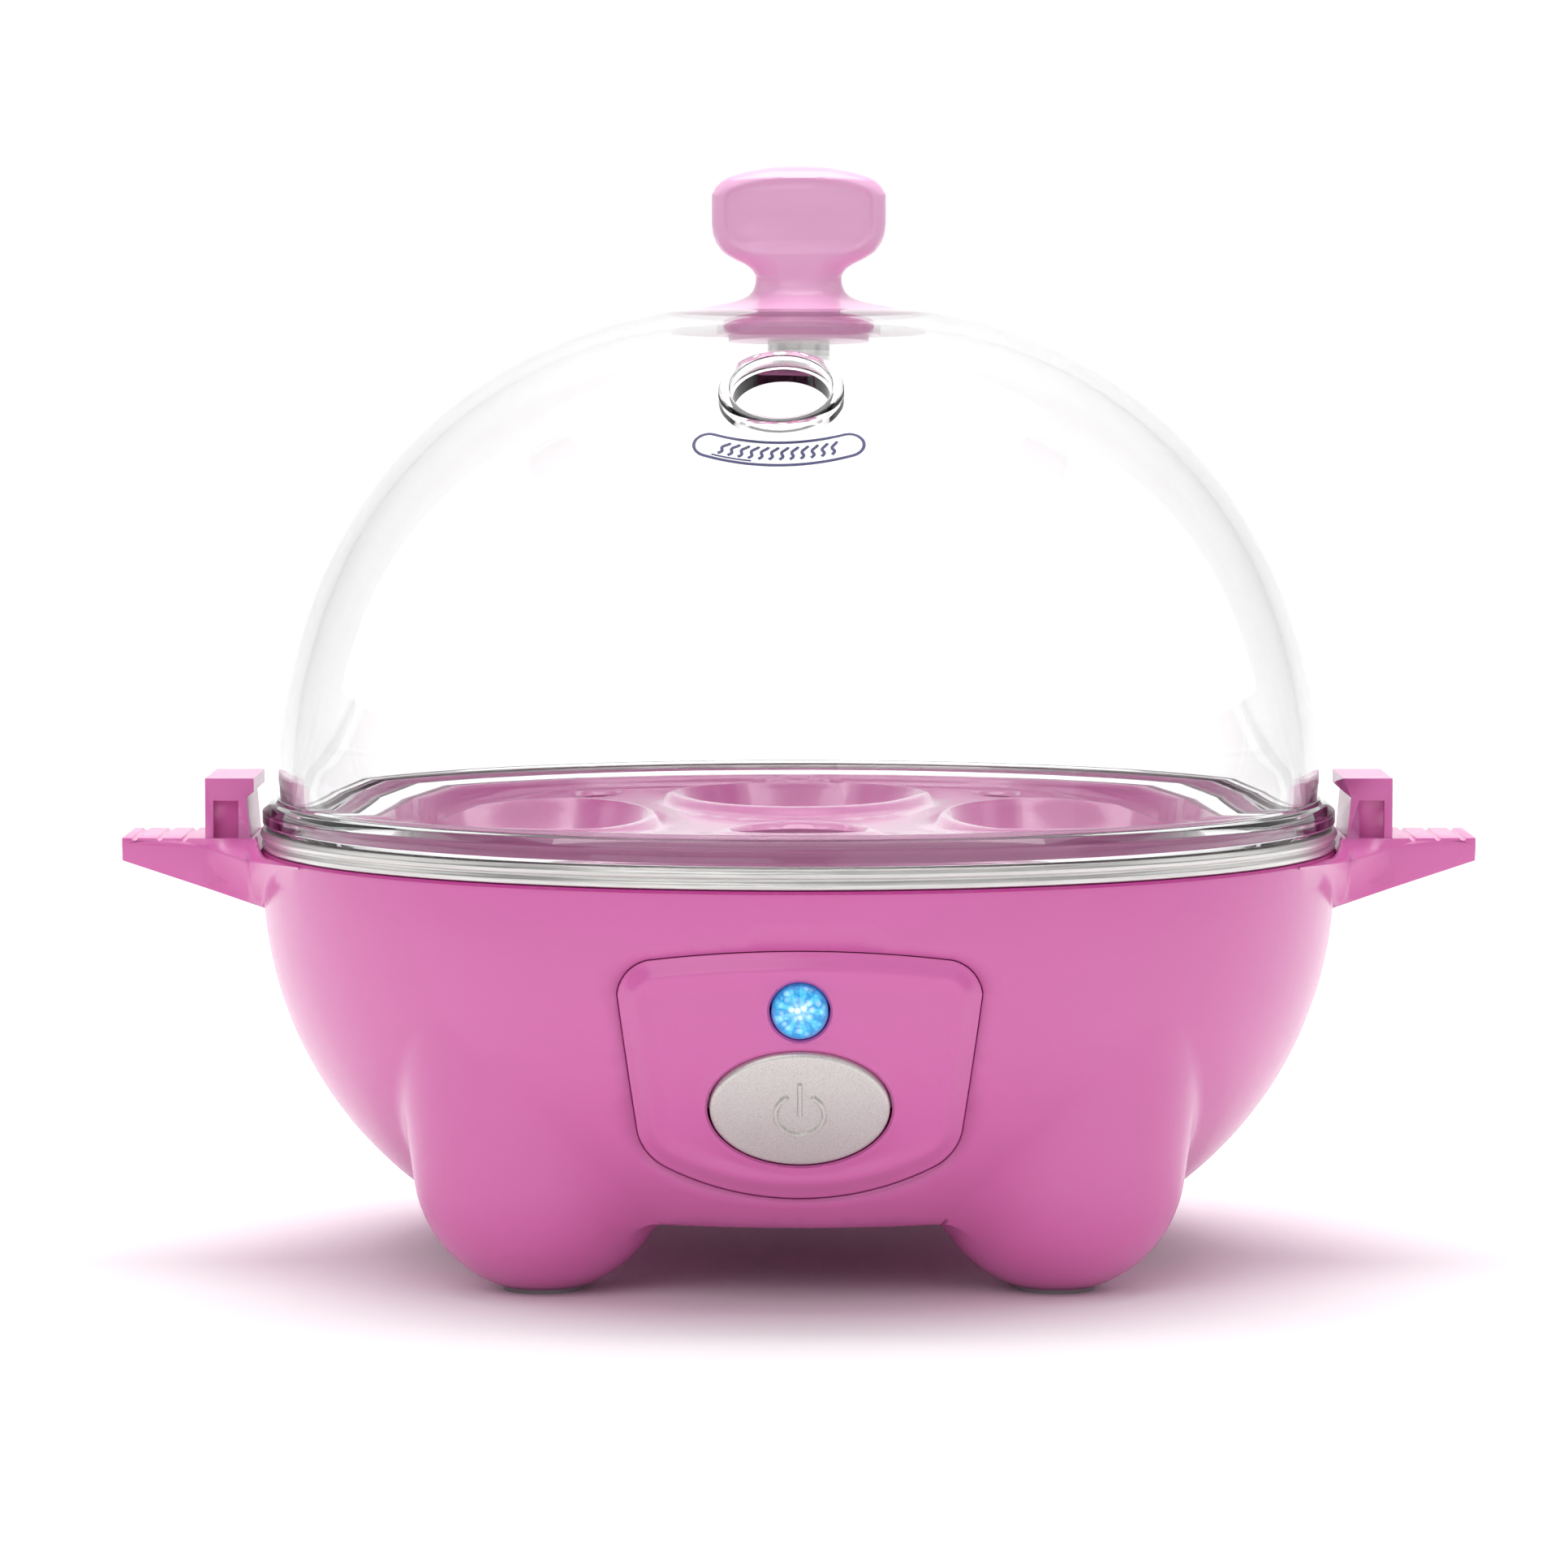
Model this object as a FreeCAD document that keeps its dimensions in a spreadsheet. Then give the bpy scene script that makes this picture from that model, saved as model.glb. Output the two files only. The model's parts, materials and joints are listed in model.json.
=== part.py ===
import FreeCAD, Part
import math
import os
import re
import Sketcher
from FreeCAD import Placement, Rotation, Vector

# Six-egg steam cooker: a pink bowl-shaped base on four legs, a stainless water pan, a
# lift-out egg tray and a clear dome with a knob. Millimetres; +Z up, the front at -Y, the
# dome's axis on Z, and z = 0 on the table.

os.makedirs("parts", exist_ok=True)
doc = FreeCAD.newDocument("EggCooker")

# ---------------------------------------------------------------- driving dimensions
DIMENSIONS = [
    # bowl of the housing: one arc turned about Z, then a short straight collar
    ("bowl_arc_radius", 52.0, "radius of the bowl's side arc"),
    ("bowl_arc_offset", 20.9, "distance of that arc's centre from the axis"),
    ("bowl_arc_height", 51.5, "height of that arc's centre"),
    ("bowl_bottom", 10.0, "height of the bowl's lower edge"),
    ("bowl_top", 55.0, "height of the bowl's upper edge"),
    ("bowl_wall", 2.4, "wall of the housing"),
    ("floor_underside", 12.2, "underside of the inner floor ring"),
    ("floor_topside", 14.4, "top of the inner floor ring"),
    ("floor_opening", 40.0, "radius of the service opening"),
    # legs
    ("leg_x", 33.7, "leg axis, sideways"),
    ("leg_y", 38.0, "leg axis, front to back"),
    ("leg_radius", 17.0, "ball radius of a leg"),
    ("leg_height", 16.7, "height of the ball's centre"),
    ("leg_bottom", 0.6, "height of the leg's flat end"),
    ("leg_blend", 6.0, "blend between leg and bowl"),
    ("leg_flare", 8.1, "how far a leg's side leans outwards above its ball"),
    ("leg_shoulder", 48.0, "height where a leg ends inside the bowl"),
    ("leg_core_radius", 14.2, "radius of the leg's hollow"),
    ("leg_core_height", 17.1, "height of the hollow's centre"),
    ("leg_keepout", 23.4, "floor kept round a leg in the service opening"),
    ("leg_scallop", 21.2, "floor kept round a leg in the cover's recess"),
    # handles: four sections, each with a narrow foot, a brow and a top
    ("handle_top", 57.1, "top of the handles"),
    ("handle_tip", 91.5, "reach of the handles"),
    ("handle_root", 66.0, "where a handle starts inside the wall"),
    ("handle_neck", 74.0, "section just outside the rim"),
    ("handle_grip", 80.0, "section where the grip starts"),
    ("handle_half", 10.0, "half width of a handle at its neck"),
    ("tip_half", 9.0, "half width of a handle at its tip"),
    ("gusset_half", 32.0, "half width of the gusset at the root"),
    ("gusset_top", 55.0, "height of the gusset's edge"),
    ("keel_root", 45.2, "underside at the root"),
    ("keel_neck", 48.0, "underside at the neck"),
    ("keel_grip", 50.2, "underside at the grip"),
    ("keel_tip", 54.0, "underside at the tip"),
    ("groove_first", 89.8, "outermost finger groove"),
    ("groove_pitch", 3.4, "spacing of the finger grooves"),
    ("groove_radius", 0.45, "radius of a finger groove"),
    ("rim_gap", 73.75, "inside of the handles beside the pan's rim"),
    # lid guide posts on the handles
    ("post_outer", 80.2, "outer face of a post"),
    ("post_inner", 73.6, "inner lip of a post"),
    ("post_waist", 74.6, "inner face of a post under its lip"),
    ("post_half", 9.5, "half width of a post"),
    ("post_top", 65.2, "top of a post"),
    ("post_lip", 1.8, "thickness of a post's lip"),
    ("pocket_depth", 1.6, "depth of the pocket in a post's face"),
    ("pocket_bottom", 55.6, "bottom of that pocket"),
    ("pocket_top", 62.2, "top of that pocket"),
    # control panel
    ("panel_proud", 1.25, "height of the panel above the bowl"),
    ("panel_seat", 1.2, "depth of the panel's seat in the bowl"),
    ("panel_gap", 0.15, "gap round the panel"),
    ("panel_shoulder", 23.1, "half width at the shoulders"),
    ("panel_shoulder_z", 42.0, "height of the shoulders"),
    ("panel_brow", 19.3, "half width of the top edge"),
    ("panel_brow_z", 46.4, "height of the top edge's ends"),
    ("panel_hip", 20.7, "half width at the hips"),
    ("panel_hip_z", 23.6, "height of the hips"),
    ("panel_chin", 17.4, "half width of the bottom edge"),
    ("panel_chin_z", 19.0, "height of the bottom edge's ends"),
    ("panel_brow_arc", 133.7, "arc of the top edge"),
    ("panel_chin_arc", 36.6, "arc of the bottom edge"),
    ("panel_shoulder_arc", 5.2, "corner arc at the shoulders"),
    ("panel_hip_arc", 7.0, "corner arc at the hips"),
    # button and switch, on one line square to the bowl
    ("button_tilt", 27.9, "how far the button faces down"),
    ("button_wide", 11.5, "half width of the oval button"),
    ("button_high", 8.6, "half height of the oval button"),
    ("button_gap", 0.4, "gap round the button"),
    ("button_face", 0.3, "height of the button's edge above the bowl"),
    ("button_crown", 0.9, "crown of the button's face"),
    ("button_back", 4.9, "depth of the button's back"),
    ("flange_front", 3.9, "depth of the stop flange's front"),
    ("flange_extra", 1.9, "reach of the stop flange beyond the button"),
    ("flange_high", 5.0, "half height of the stop flange"),
    ("stem_radius", 3.2, "radius of the button's stem"),
    ("stem_end", 8.6, "depth of the stem's end"),
    ("button_travel", 2.2, "travel of the button"),
    ("plunger_radius", 1.8, "radius of the switch plunger"),
    ("plunger_end", 17.0, "depth of the plunger's end"),
    ("bracket_front", 13.0, "depth of the switch bracket"),
    ("bracket_plate", 1.4, "thickness of the switch bracket"),
    ("switch_depth", 10.0, "depth of the switch body"),
    ("switch_width", 13.0, "width of the switch body"),
    ("switch_height", 10.0, "height of the switch body"),
    ("bracket_pitch", 17.8, "half pitch of the bracket's screws"),
    ("spring_radius", 4.3, "middle radius of the return spring"),
    ("spring_wire", 0.35, "radius of the spring's wire"),
    ("spring_turns", 5.0, "turns of the spring"),
    # lamp
    ("lamp_tilt", 12.4, "how far the lamp faces down"),
    ("lens_radius", 3.6, "radius of the lens"),
    ("lens_gap", 0.25, "gap round the lens"),
    ("lens_crown", 1.0, "crown of the lens"),
    ("lens_end", 2.6, "depth of the lens's back"),
    ("grommet_radius", 3.2, "outside of the lamp's grommet"),
    ("grommet_end", 8.0, "depth of the grommet's back"),
    ("lamp_radius", 2.5, "radius of the lamp"),
    # water pan
    ("rim_radius", 73.45, "outer radius of the rolled rim"),
    ("rim_bottom", 55.4, "underside of the rim"),
    ("rim_top", 58.3, "top of the rim"),
    ("rim_roll", 0.9, "rounding of the rim"),
    ("rim_inner", 68.7, "inner edge of the rim's top"),
    ("pan_sheet", 1.0, "sheet thickness of the pan"),
    ("ledge_height", 57.0, "ledge that carries the tray"),
    ("ledge_inner", 65.0, "inner edge of the ledge"),
    ("pan_floor", 47.0, "top of the pan's floor"),
    ("pan_radius", 58.0, "radius of the pan's floor"),
    ("plate_pitch", 67.2, "pitch radius of the screws that hold the pan"),
    ("plate_boss", 44.0, "underside of the bosses for those screws"),
    # heater parts under the pan
    ("spreader_radius", 43.0, "radius of the heat spreader"),
    ("spreader_plate", 2.0, "thickness of the heat spreader"),
    ("element_ring", 36.0, "ring radius of the heating element"),
    ("element_radius", 3.0, "radius of the heating element"),
    ("element_sweep", 290.0, "angle that the element spans"),
    # tray
    ("tray_bottom", 57.1, "underside of the tray's skirt"),
    ("tray_top", 60.5, "top of the tray's rim"),
    ("tray_radius", 67.9, "outer radius of the tray"),
    ("tray_rim", 3.2, "width of the tray's rim"),
    ("tray_deck", 59.0, "top of the tray's deck"),
    ("tray_wall", 1.6, "wall of the tray"),
    ("seat_pitch", 44.5, "pitch radius of the egg seats"),
    ("seat_mouth", 17.6, "mouth radius of a seat"),
    ("seat_foot", 11.0, "foot radius of a seat"),
    ("seat_depth", 7.0, "depth of a seat"),
    ("steam_radius", 3.0, "radius of a steam hole"),
    # dome
    ("lid_bottom", 58.4, "underside of the dome's flange"),
    ("lid_wall", 2.0, "wall of the dome"),
    ("lid_radius", 70.9, "outer radius of the dome at its base"),
    ("lid_base", 62.8, "height where the dome's wall stands upright"),
    ("lid_side_arc", 73.7, "arc of the dome's side"),
    ("lid_side_angle", 23.7, "angle of that arc"),
    ("lid_crown_arc", 60.6, "arc of the dome's crown"),
    ("flange_radius", 73.0, "outer radius of the flange"),
    ("flange_top", 61.8, "top of the flange"),
    ("vent_tilt", 35.8, "lean of the steam vent from upright"),
    ("vent_turn", 3.0, "turn of the lid on the base"),
    ("vent_hole", 6.3, "radius of the steam vent"),
    ("vent_collar", 8.2, "radius of its collar"),
    ("vent_height", 1.6, "height of its collar"),
    # knob
    ("knob_top", 147.8, "top of the knob"),
    ("knob_base", 19.1, "radius of the knob's foot"),
    ("knob_neck", 5.85, "half width of the neck"),
    ("knob_neck_z", 132.4, "height of the neck"),
    ("knob_half", 11.9, "half width of the grip"),
    ("knob_half_z", 141.0, "height of the grip's widest place"),
    ("knob_thick", 11.0, "thickness of the grip"),
    ("washer_radius", 11.15, "radius of the washer in the dome"),
    ("washer_plate", 1.9, "thickness of that washer"),
    ("screw_head", 4.25, "head radius of the knob screw"),
    ("screw_shank", 1.9, "shank radius of the knob screw"),
    ("screw_reach", 13.0, "how far the screw enters the knob"),
    # underside
    ("cover_radius", 49.6, "radius of the bottom cover"),
    ("cover_plate", 2.0, "thickness of the bottom cover"),
    ("cover_pitch", 44.2, "pitch radius of the cover's screws"),
    ("pad_radius", 5.2, "radius of a foot pad"),
    ("pad_stem", 4.0, "radius of a foot pad's stem"),
    ("pad_height", 1.8, "height of a foot pad"),
    # cord gland
    ("gland_height", 16.2, "height of the cord gland's axis"),
    ("gland_radius", 5.4, "radius of the gland's body"),
    ("gland_bore", 3.4, "radius of the gland's bore"),
    ("gland_flange", 6.2, "radius of the gland's flange"),
    ("gland_inner", 50.0, "inner end of the gland"),
    ("gland_face", 64.2, "face of the cord boss"),
    ("gland_proud", 1.6, "thickness of the gland's flange"),
    ("gland_boss", 8.6, "half width of the cord boss"),
    # circuit board and what stands on it
    ("board_width", 40.0, "width of the circuit board"),
    ("board_depth", 30.0, "depth of the circuit board"),
    ("board_centre", 6.0, "board centre behind the axis"),
    ("board_height", 18.6, "underside of the circuit board"),
    ("board_plate", 1.6, "thickness of the circuit board"),
    ("board_inset", 3.5, "screw inset from the board's edges"),
    ("wire_radius", 0.8, "radius of an insulated wire"),
    ("wire_bend", 2.5, "bend radius of a wire"),
]

sheet = doc.addObject("Spreadsheet::Sheet", "Dims")
for row, (alias, value, meaning) in enumerate(DIMENSIONS, 1):
    sheet.set(f"A{row}", alias)
    sheet.set(f"B{row}", str(value))
    sheet.set(f"C{row}", meaning)
    sheet.setAlias(f"B{row}", alias)
ALIASES = {alias for alias, _, _ in DIMENSIONS}
doc.recompute()


def bound(expression):
    """The expression with every alias pointing at the sheet."""
    return re.sub(r"[a-z]+(?:_[a-z]+)+", lambda found: "Dims." + found[0]
                  if found[0] in ALIASES else found[0], str(expression))


def value_of(expression):
    """The expression's present value."""
    result = probe.evalExpression(bound(expression))
    return float(getattr(result, "Value", result))


def bind(thing, **sizes):
    """Ties properties of an object to expressions on the sheet."""
    for name, expression in sizes.items():
        thing.setExpression(name.replace("__", "."), bound(expression))
    return thing


probe = doc.addObject("Part::Vertex", "Probe")


# ---------------------------------------------------------------- building blocks
def place(thing, at, axis=None, angle="0"):
    """Ties an object's place to expressions."""
    if axis is not None:
        thing.Placement = Placement(Vector(), Rotation(Vector(*axis), 30))
        thing.setExpression("Placement.Rotation.Angle", bound(angle))
    for letter, expression in zip("xyz", at):
        thing.setExpression(f"Placement.Base.{letter}", bound(expression))
    return thing


def cylinder(name, radius, height, at, axis=None, angle="0"):
    rod = doc.addObject("Part::Cylinder", name)
    bind(rod, Radius=radius, Height=height)
    return place(rod, at, axis, angle)


def cone(name, low, high, height, at):
    thing = doc.addObject("Part::Cone", name)
    bind(thing, Radius1=low, Radius2=high, Height=height)
    return place(thing, at)


def block(name, size, corner, axis=None, angle="0"):
    brick = doc.addObject("Part::Box", name)
    bind(brick, Length=size[0], Width=size[1], Height=size[2])
    return place(brick, corner, axis, angle)


def ball(name, radius, at, lowest="-90", turn="0"):
    thing = doc.addObject("Part::Sphere", name)
    bind(thing, Radius=radius, Angle1=lowest)
    return place(thing, at, (0, 0, 1), turn)


def fuse(name, pieces):
    thing = doc.addObject("Part::MultiFuse", name)
    thing.Shapes = pieces
    thing.Refine = True
    return thing


def cut(name, base, tool):
    thing = doc.addObject("Part::Cut", name)
    thing.Base = base
    thing.Tool = tool if not isinstance(tool, list) else fuse(name + "Tools", tool)
    return thing


def common(name, pieces):
    thing = doc.addObject("Part::MultiCommon", name)
    thing.Shapes = pieces
    return thing


def group(name, pieces):
    """Like pieces kept as separate solids in one object."""
    thing = doc.addObject("Part::Compound", name)
    thing.Links = pieces
    return thing


def draw(sketch, corners):
    """
    Draws a closed outline. Each corner is (across, up) or (across, up, radius): a radius
    makes the side that arrives at that corner an arc, which turns left when the radius
    is given with a plus and right with a minus.
    """
    places = [(value_of(c[0]), value_of(c[1])) for c in corners]
    ends = []
    for index, corner in enumerate(corners):
        start = Vector(*places[index - 1], 0)
        end = Vector(*places[index], 0)
        if len(corner) == 2:
            side = sketch.addGeometry(Part.LineSegment(start, end), False)
            ends.append((side, 1, 2))
            continue
        left = not str(corner[2]).startswith("-")
        radius = abs(value_of(corner[2]))
        chord = end - start
        across = Vector(-chord.y, chord.x, 0).normalize() * (1 if left else -1)
        rise = math.sqrt(max(radius ** 2 - (chord.Length / 2) ** 2, 0))
        centre = start + chord * 0.5 + across * rise
        first, last = (start, end) if left else (end, start)
        angles = [math.atan2((p - centre).y, (p - centre).x) for p in (first, last)]
        circle = Part.Circle(centre, Vector(0, 0, 1), radius)
        side = sketch.addGeometry(Part.ArcOfCircle(circle, angles[0], angles[1]), False)
        ends.append((side, 1, 2) if left else (side, 2, 1))
        rule = sketch.addConstraint(Sketcher.Constraint("Radius", side, radius))
        sketch.setExpression(f"Constraints[{rule}]", bound(str(corner[2]).lstrip("-+")))
    for index, corner in enumerate(corners):
        side, _, tail = ends[index]
        following, head, _ = ends[(index + 1) % len(corners)]
        sketch.addConstraint(Sketcher.Constraint("Coincident", side, tail, following, head))
        for kind, axis_line, expression, now in (
                ("DistanceX", -2, corner[0], places[index][0]),
                ("DistanceY", -1, corner[1], places[index][1])):
            if str(expression) == "0":
                on_axis = Sketcher.Constraint("PointOnObject", side, tail, axis_line)
                sketch.addConstraint(on_axis)
                continue
            held = Sketcher.Constraint(kind, -1, 1, side, tail, now)
            rule = sketch.addConstraint(held)
            sketch.setExpression(f"Constraints[{rule}]", bound(expression))
    return sketch


def sketch_on(body, name, role):
    sketch = body.newObject("Sketcher::SketchObject", name)
    plane = next(p for p in body.Origin.OriginFeatures if p.Role == role)
    sketch.AttachmentSupport = [(plane, "")]
    sketch.MapMode = "FlatFace"
    return sketch


def turned(name, corners):
    """A body turned about Z from an outline of (radius, height) corners."""
    body = doc.addObject("PartDesign::Body", name)
    sketch = draw(sketch_on(body, name + "Outline", "XZ_Plane"), corners)
    turn = body.newObject("PartDesign::Revolution", name + "Turn")
    turn.Profile = sketch
    turn.ReferenceAxis = (sketch, ["V_Axis"])
    turn.Angle = 360
    body.Tip = turn
    return body


def raised(name, corners, bottom, height, role="XY_Plane"):
    """A body padded from an outline; bottom is the outline's height on its plane."""
    body = doc.addObject("PartDesign::Body", name)
    sketch = draw(sketch_on(body, name + "Outline", role), corners)
    sketch.setExpression("AttachmentOffset.Base.z", bound(bottom))
    pad = body.newObject("PartDesign::Pad", name + "Pad")
    pad.Profile = sketch
    pad.setExpression("Length", bound(height))
    body.Tip = pad
    return body


def into_bowl(depth, tilt, across="0"):
    """
    The place at a depth below the bowl's surface, on the line square to the bowl that
    leans down by tilt at the front.
    """
    reach = f"(bowl_arc_radius - ({depth}))"
    return (across,
            f"0 - bowl_arc_offset - {reach} * cos({tilt})",
            f"bowl_arc_height - {reach} * sin({tilt})")


def rod_out(name, radius, deep, shallow, tilt, across="0"):
    """A cylinder on that line, from one depth out to a shallower one."""
    return cylinder(name, radius, f"({deep}) - ({shallow})",
                    into_bowl(deep, tilt, across), (1, 0, 0), f"90 + {tilt}")


def oval_out(name, wide, high, deep, shallow, tilt):
    """An oval bar on that line."""
    ring = doc.addObject("Part::Ellipse", name + "Ring")
    bind(ring, MajorRadius=wide, MinorRadius=high)
    place(ring, into_bowl(deep, tilt), (1, 0, 0), f"90 + {tilt}")
    bar = doc.addObject("Part::Extrusion", name)
    bar.Base = ring
    bar.DirMode = "Normal"
    bar.Solid = True
    bar.Reversed = True
    bar.setExpression("LengthFwd", bound(f"({deep}) - ({shallow})"))
    return bar


def bowl_body(name, inset, bottom, top):
    """The solid inside the bowl's surface moved inwards by inset."""
    arc = f"(bowl_arc_radius - ({inset}))"
    foot = f"bowl_arc_offset + sqrt({arc} ^ 2 - (bowl_arc_height - ({bottom})) ^ 2)"
    side = f"bowl_arc_offset + {arc}"
    return turned(name, [("0", bottom), (foot, bottom), (side, "bowl_arc_height", arc),
                         (side, top), ("0", top)])


LEGS = {"front_left": (-1, -1), "front_right": (1, -1),
        "rear_left": (-1, 1), "rear_right": (1, 1)}


def at_leg(side, end, height):
    return (f"{side} * leg_x", f"{end} * leg_y", height)


def leg_discs(name, radius, bottom, height):
    return [cylinder(name + corner.title().replace("_", ""), radius, height,
                     at_leg(*signs, bottom)) for corner, signs in LEGS.items()]


# ---------------------------------------------------------------- housing
bowl = bowl_body("Bowl", "0", "bowl_bottom", "bowl_top")
legs = [ball("Leg" + corner.title().replace("_", ""), "leg_radius",
             at_leg(*signs, "leg_height"),
             "-asin((leg_height - leg_bottom) / leg_radius)",
             f"atan2({signs[1]} * leg_y; {signs[0]} * leg_x) + 180 deg")
        for corner, signs in LEGS.items()]
waist_height = "(leg_height - leg_radius * sin(leg_flare))"
waist_radius = "(leg_radius * cos(leg_flare))"
legs += [cone("LegFlare" + corner.title().replace("_", ""), waist_radius,
              f"{waist_radius} + (leg_shoulder - {waist_height}) * tan(leg_flare)",
              f"leg_shoulder - {waist_height}", at_leg(*signs, waist_height))
         for corner, signs in LEGS.items()]
bowl_on_legs = fuse("BowlOnLegs", [bowl] + legs)
doc.recompute()


def blend_edges(shape):
    """The edges where the legs meet the bowl's side and its lower edge."""
    lower = value_of("bowl_bottom")
    found = []
    for number, edge in enumerate(shape.Edges, 1):
        if edge.Degenerated:
            continue
        box = edge.BoundBox
        curve = edge.Curve.TypeId
        meets_side = "BSpline" in curve
        meets_floor = ("Circle" in curve and abs(box.ZMin - lower) < 0.05
                       and abs(box.ZMax - lower) < 0.05
                       and math.hypot(edge.Curve.Center.x, edge.Curve.Center.y) > 1)
        if meets_side or meets_floor:
            found.append(number)
    return found


blended = doc.addObject("Part::Fillet", "BlendedLegs")
blended.Base = bowl_on_legs
blend = value_of("leg_blend")
blended.Edges = [(number, blend, blend) for number in blend_edges(bowl_on_legs.Shape)]


def handle_section(name, across, foot_half, foot, brow_half, brow, top_half):
    """One six-cornered section of a handle, on a plane square to X."""
    ring = doc.addObject("Sketcher::SketchObject", name)
    ring.Placement = Placement(Vector(), Rotation(Vector(1, 1, 1), 120))
    ring.setExpression("Placement.Base.x", bound(across))
    half = [(foot_half, foot), (brow_half, brow), (top_half, "handle_top")]
    mirrored = [(f"0 - ({y})", z) for y, z in reversed(half)]
    return draw(ring, half + mirrored)


handle_sections = [
    handle_section("HandleRoot", "handle_root", "0.65 * handle_half", "keel_root",
                   "gusset_half", "gusset_top", "handle_half"),
    handle_section("HandleNeck", "handle_neck", "0.75 * handle_half", "keel_neck",
                   "handle_half + 5", "gusset_top - 0.6", "handle_half"),
    handle_section("HandleGrip", "handle_grip", "0.85 * handle_half", "keel_grip",
                   "handle_half + 0.2", "gusset_top + 0.8", "handle_half - 0.2"),
    handle_section("HandleTip", "handle_tip", "tip_half - 0.6", "keel_tip",
                   "tip_half", "handle_top - 1.1", "tip_half"),
]
handle_loft = doc.addObject("Part::Loft", "HandleLoft")
handle_loft.Sections = handle_sections
handle_loft.Solid = True
handle_loft.Ruled = True

post = raised("Post", [("post_outer", "bowl_top - 4"), ("post_outer", "post_top"),
                       ("post_inner", "post_top"), ("post_inner", "post_top - post_lip"),
                       ("post_waist", "post_top - post_lip - 0.8"),
                       ("post_waist - 0.5", "handle_top"), ("handle_root + 5", "bowl_top - 4")],
              "0 - post_half", "2 * post_half", "XZ_Plane")
pockets = [block(f"Pocket{name}", ("post_outer - post_waist - 2.2", "pocket_depth",
                                   "pocket_top - pocket_bottom"),
                 ("post_waist + 1.1", start, "pocket_bottom"))
           for name, start in (("Front", "0 - post_half - 0.001"),
                               ("Back", "post_half - pocket_depth + 0.001"))]
grooves = [cylinder(f"Groove{number}", "groove_radius", "4 * tip_half",
                    (f"groove_first - {number} * groove_pitch", "2 * tip_half",
                     "handle_top + 0.1"), (1, 0, 0), "90") for number in range(3)]
post_trimmed = cut("PostTrimmed", post, pockets)
handle_grooved = cut("HandleGrooved", handle_loft, grooves)
right_handle = fuse("RightHandle", [handle_grooved, post_trimmed])
left_handle = doc.addObject("Part::Mirroring", "LeftHandle")
left_handle.Source = right_handle
left_handle.Normal = Vector(1, 0, 0)
rim_clearance = [
    cylinder("RimClearance", "rim_gap", "rim_top + 1 - bowl_top", ("0", "0", "bowl_top")),
    cylinder("LidClearance", "flange_radius + 0.4", "20", ("0", "0", "rim_top")),
]
handles = cut("Handles", fuse("BothHandles", [right_handle, left_handle]), rim_clearance)

cord_boss = fuse("CordBoss", [
    cylinder("CordBossRound", "gland_boss", "18", ("0", "gland_face", "gland_height"),
             (1, 0, 0), "90"),
    block("CordBossBlock", ("2 * gland_boss", "18", "gland_height - bowl_bottom"),
          ("0 - gland_boss", "gland_face - 18", "bowl_bottom"))])
outer_form = fuse("OuterForm", [blended, handles, cord_boss])

hollow = fuse("Hollow", [bowl_body("BowlHollow", "bowl_wall", "floor_topside", "bowl_top + 3")]
              + [ball("LegHollow" + corner.title().replace("_", ""), "leg_core_radius",
                      at_leg(*signs, "leg_core_height")) for corner, signs in LEGS.items()])
service_opening = cut(
    "ServiceOpening",
    cylinder("OpeningDisc", "floor_opening", "floor_topside - bowl_bottom + 2",
             ("0", "0", "bowl_bottom - 1")),
    leg_discs("OpeningKeep", "leg_keepout", "bowl_bottom - 2", "floor_topside"))
cover_recess = cut(
    "CoverRecess",
    cylinder("RecessDisc", "cover_radius + 0.2", "floor_underside - bowl_bottom + 1",
             ("0", "0", "bowl_bottom - 1")),
    leg_discs("RecessKeep", "leg_scallop", "bowl_bottom - 2", "floor_topside"))
shell = cut("Shell", outer_form, [hollow, service_opening, cover_recess])

COVER_SCREWS = [("Right", "cover_pitch", "0"), ("Left", "0 - cover_pitch", "0"),
                ("Front", "0", "0 - cover_pitch")]
PLATE_SCREWS = [("Rear", 90), ("FrontLeft", 210), ("FrontRight", 330)]


def round_axis(pitch, degrees, height):
    """A place on a circle round the axis."""
    return (f"{pitch} * cos({degrees})", f"{pitch} * sin({degrees})", height)


bosses = [cylinder(f"CoverBoss{name}", "3.6", "9", (x, y, "floor_topside - 0.5"))
          for name, x, y in COVER_SCREWS]
bosses += [cylinder(f"PlateBoss{name}", "3.6", "bowl_top - 2.2 - plate_boss",
                    round_axis("plate_pitch", turn, "plate_boss"))
           for name, turn in PLATE_SCREWS]
bosses += [rod_out(f"SwitchBoss{name}", "3", "bracket_front", "3.6", "button_tilt",
                   f"{side} * bracket_pitch") for name, side in (("Left", -1), ("Right", 1))]
with_bosses = fuse("WithBosses", [shell] + bosses)

panel_outline = [
    ("panel_shoulder", "panel_shoulder_z"),
    ("panel_brow", "panel_brow_z", "panel_shoulder_arc"),
    ("0 - panel_brow", "panel_brow_z", "panel_brow_arc"),
    ("0 - panel_shoulder", "panel_shoulder_z", "panel_shoulder_arc"),
    ("0 - panel_hip", "panel_hip_z"),
    ("0 - panel_chin", "panel_chin_z", "panel_hip_arc"),
    ("panel_chin", "panel_chin_z", "panel_chin_arc"),
    ("panel_hip", "panel_hip_z", "panel_hip_arc"),
]


def widened(outline, amount):
    """The panel outline moved outwards by a small amount."""
    wider = []
    for corner in outline:
        across, up = corner[0], corner[1]
        side = "0 - " if str(across).startswith("0 - ") else ""
        moved = f"{across} - ({amount})" if side else f"{across} + ({amount})"
        lift = f"{up} + ({amount})" if "brow" in up else f"{up} - ({amount})" \
            if "chin" in up else up
        wider.append((moved, lift) + tuple(corner[2:]))
    return wider


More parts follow.
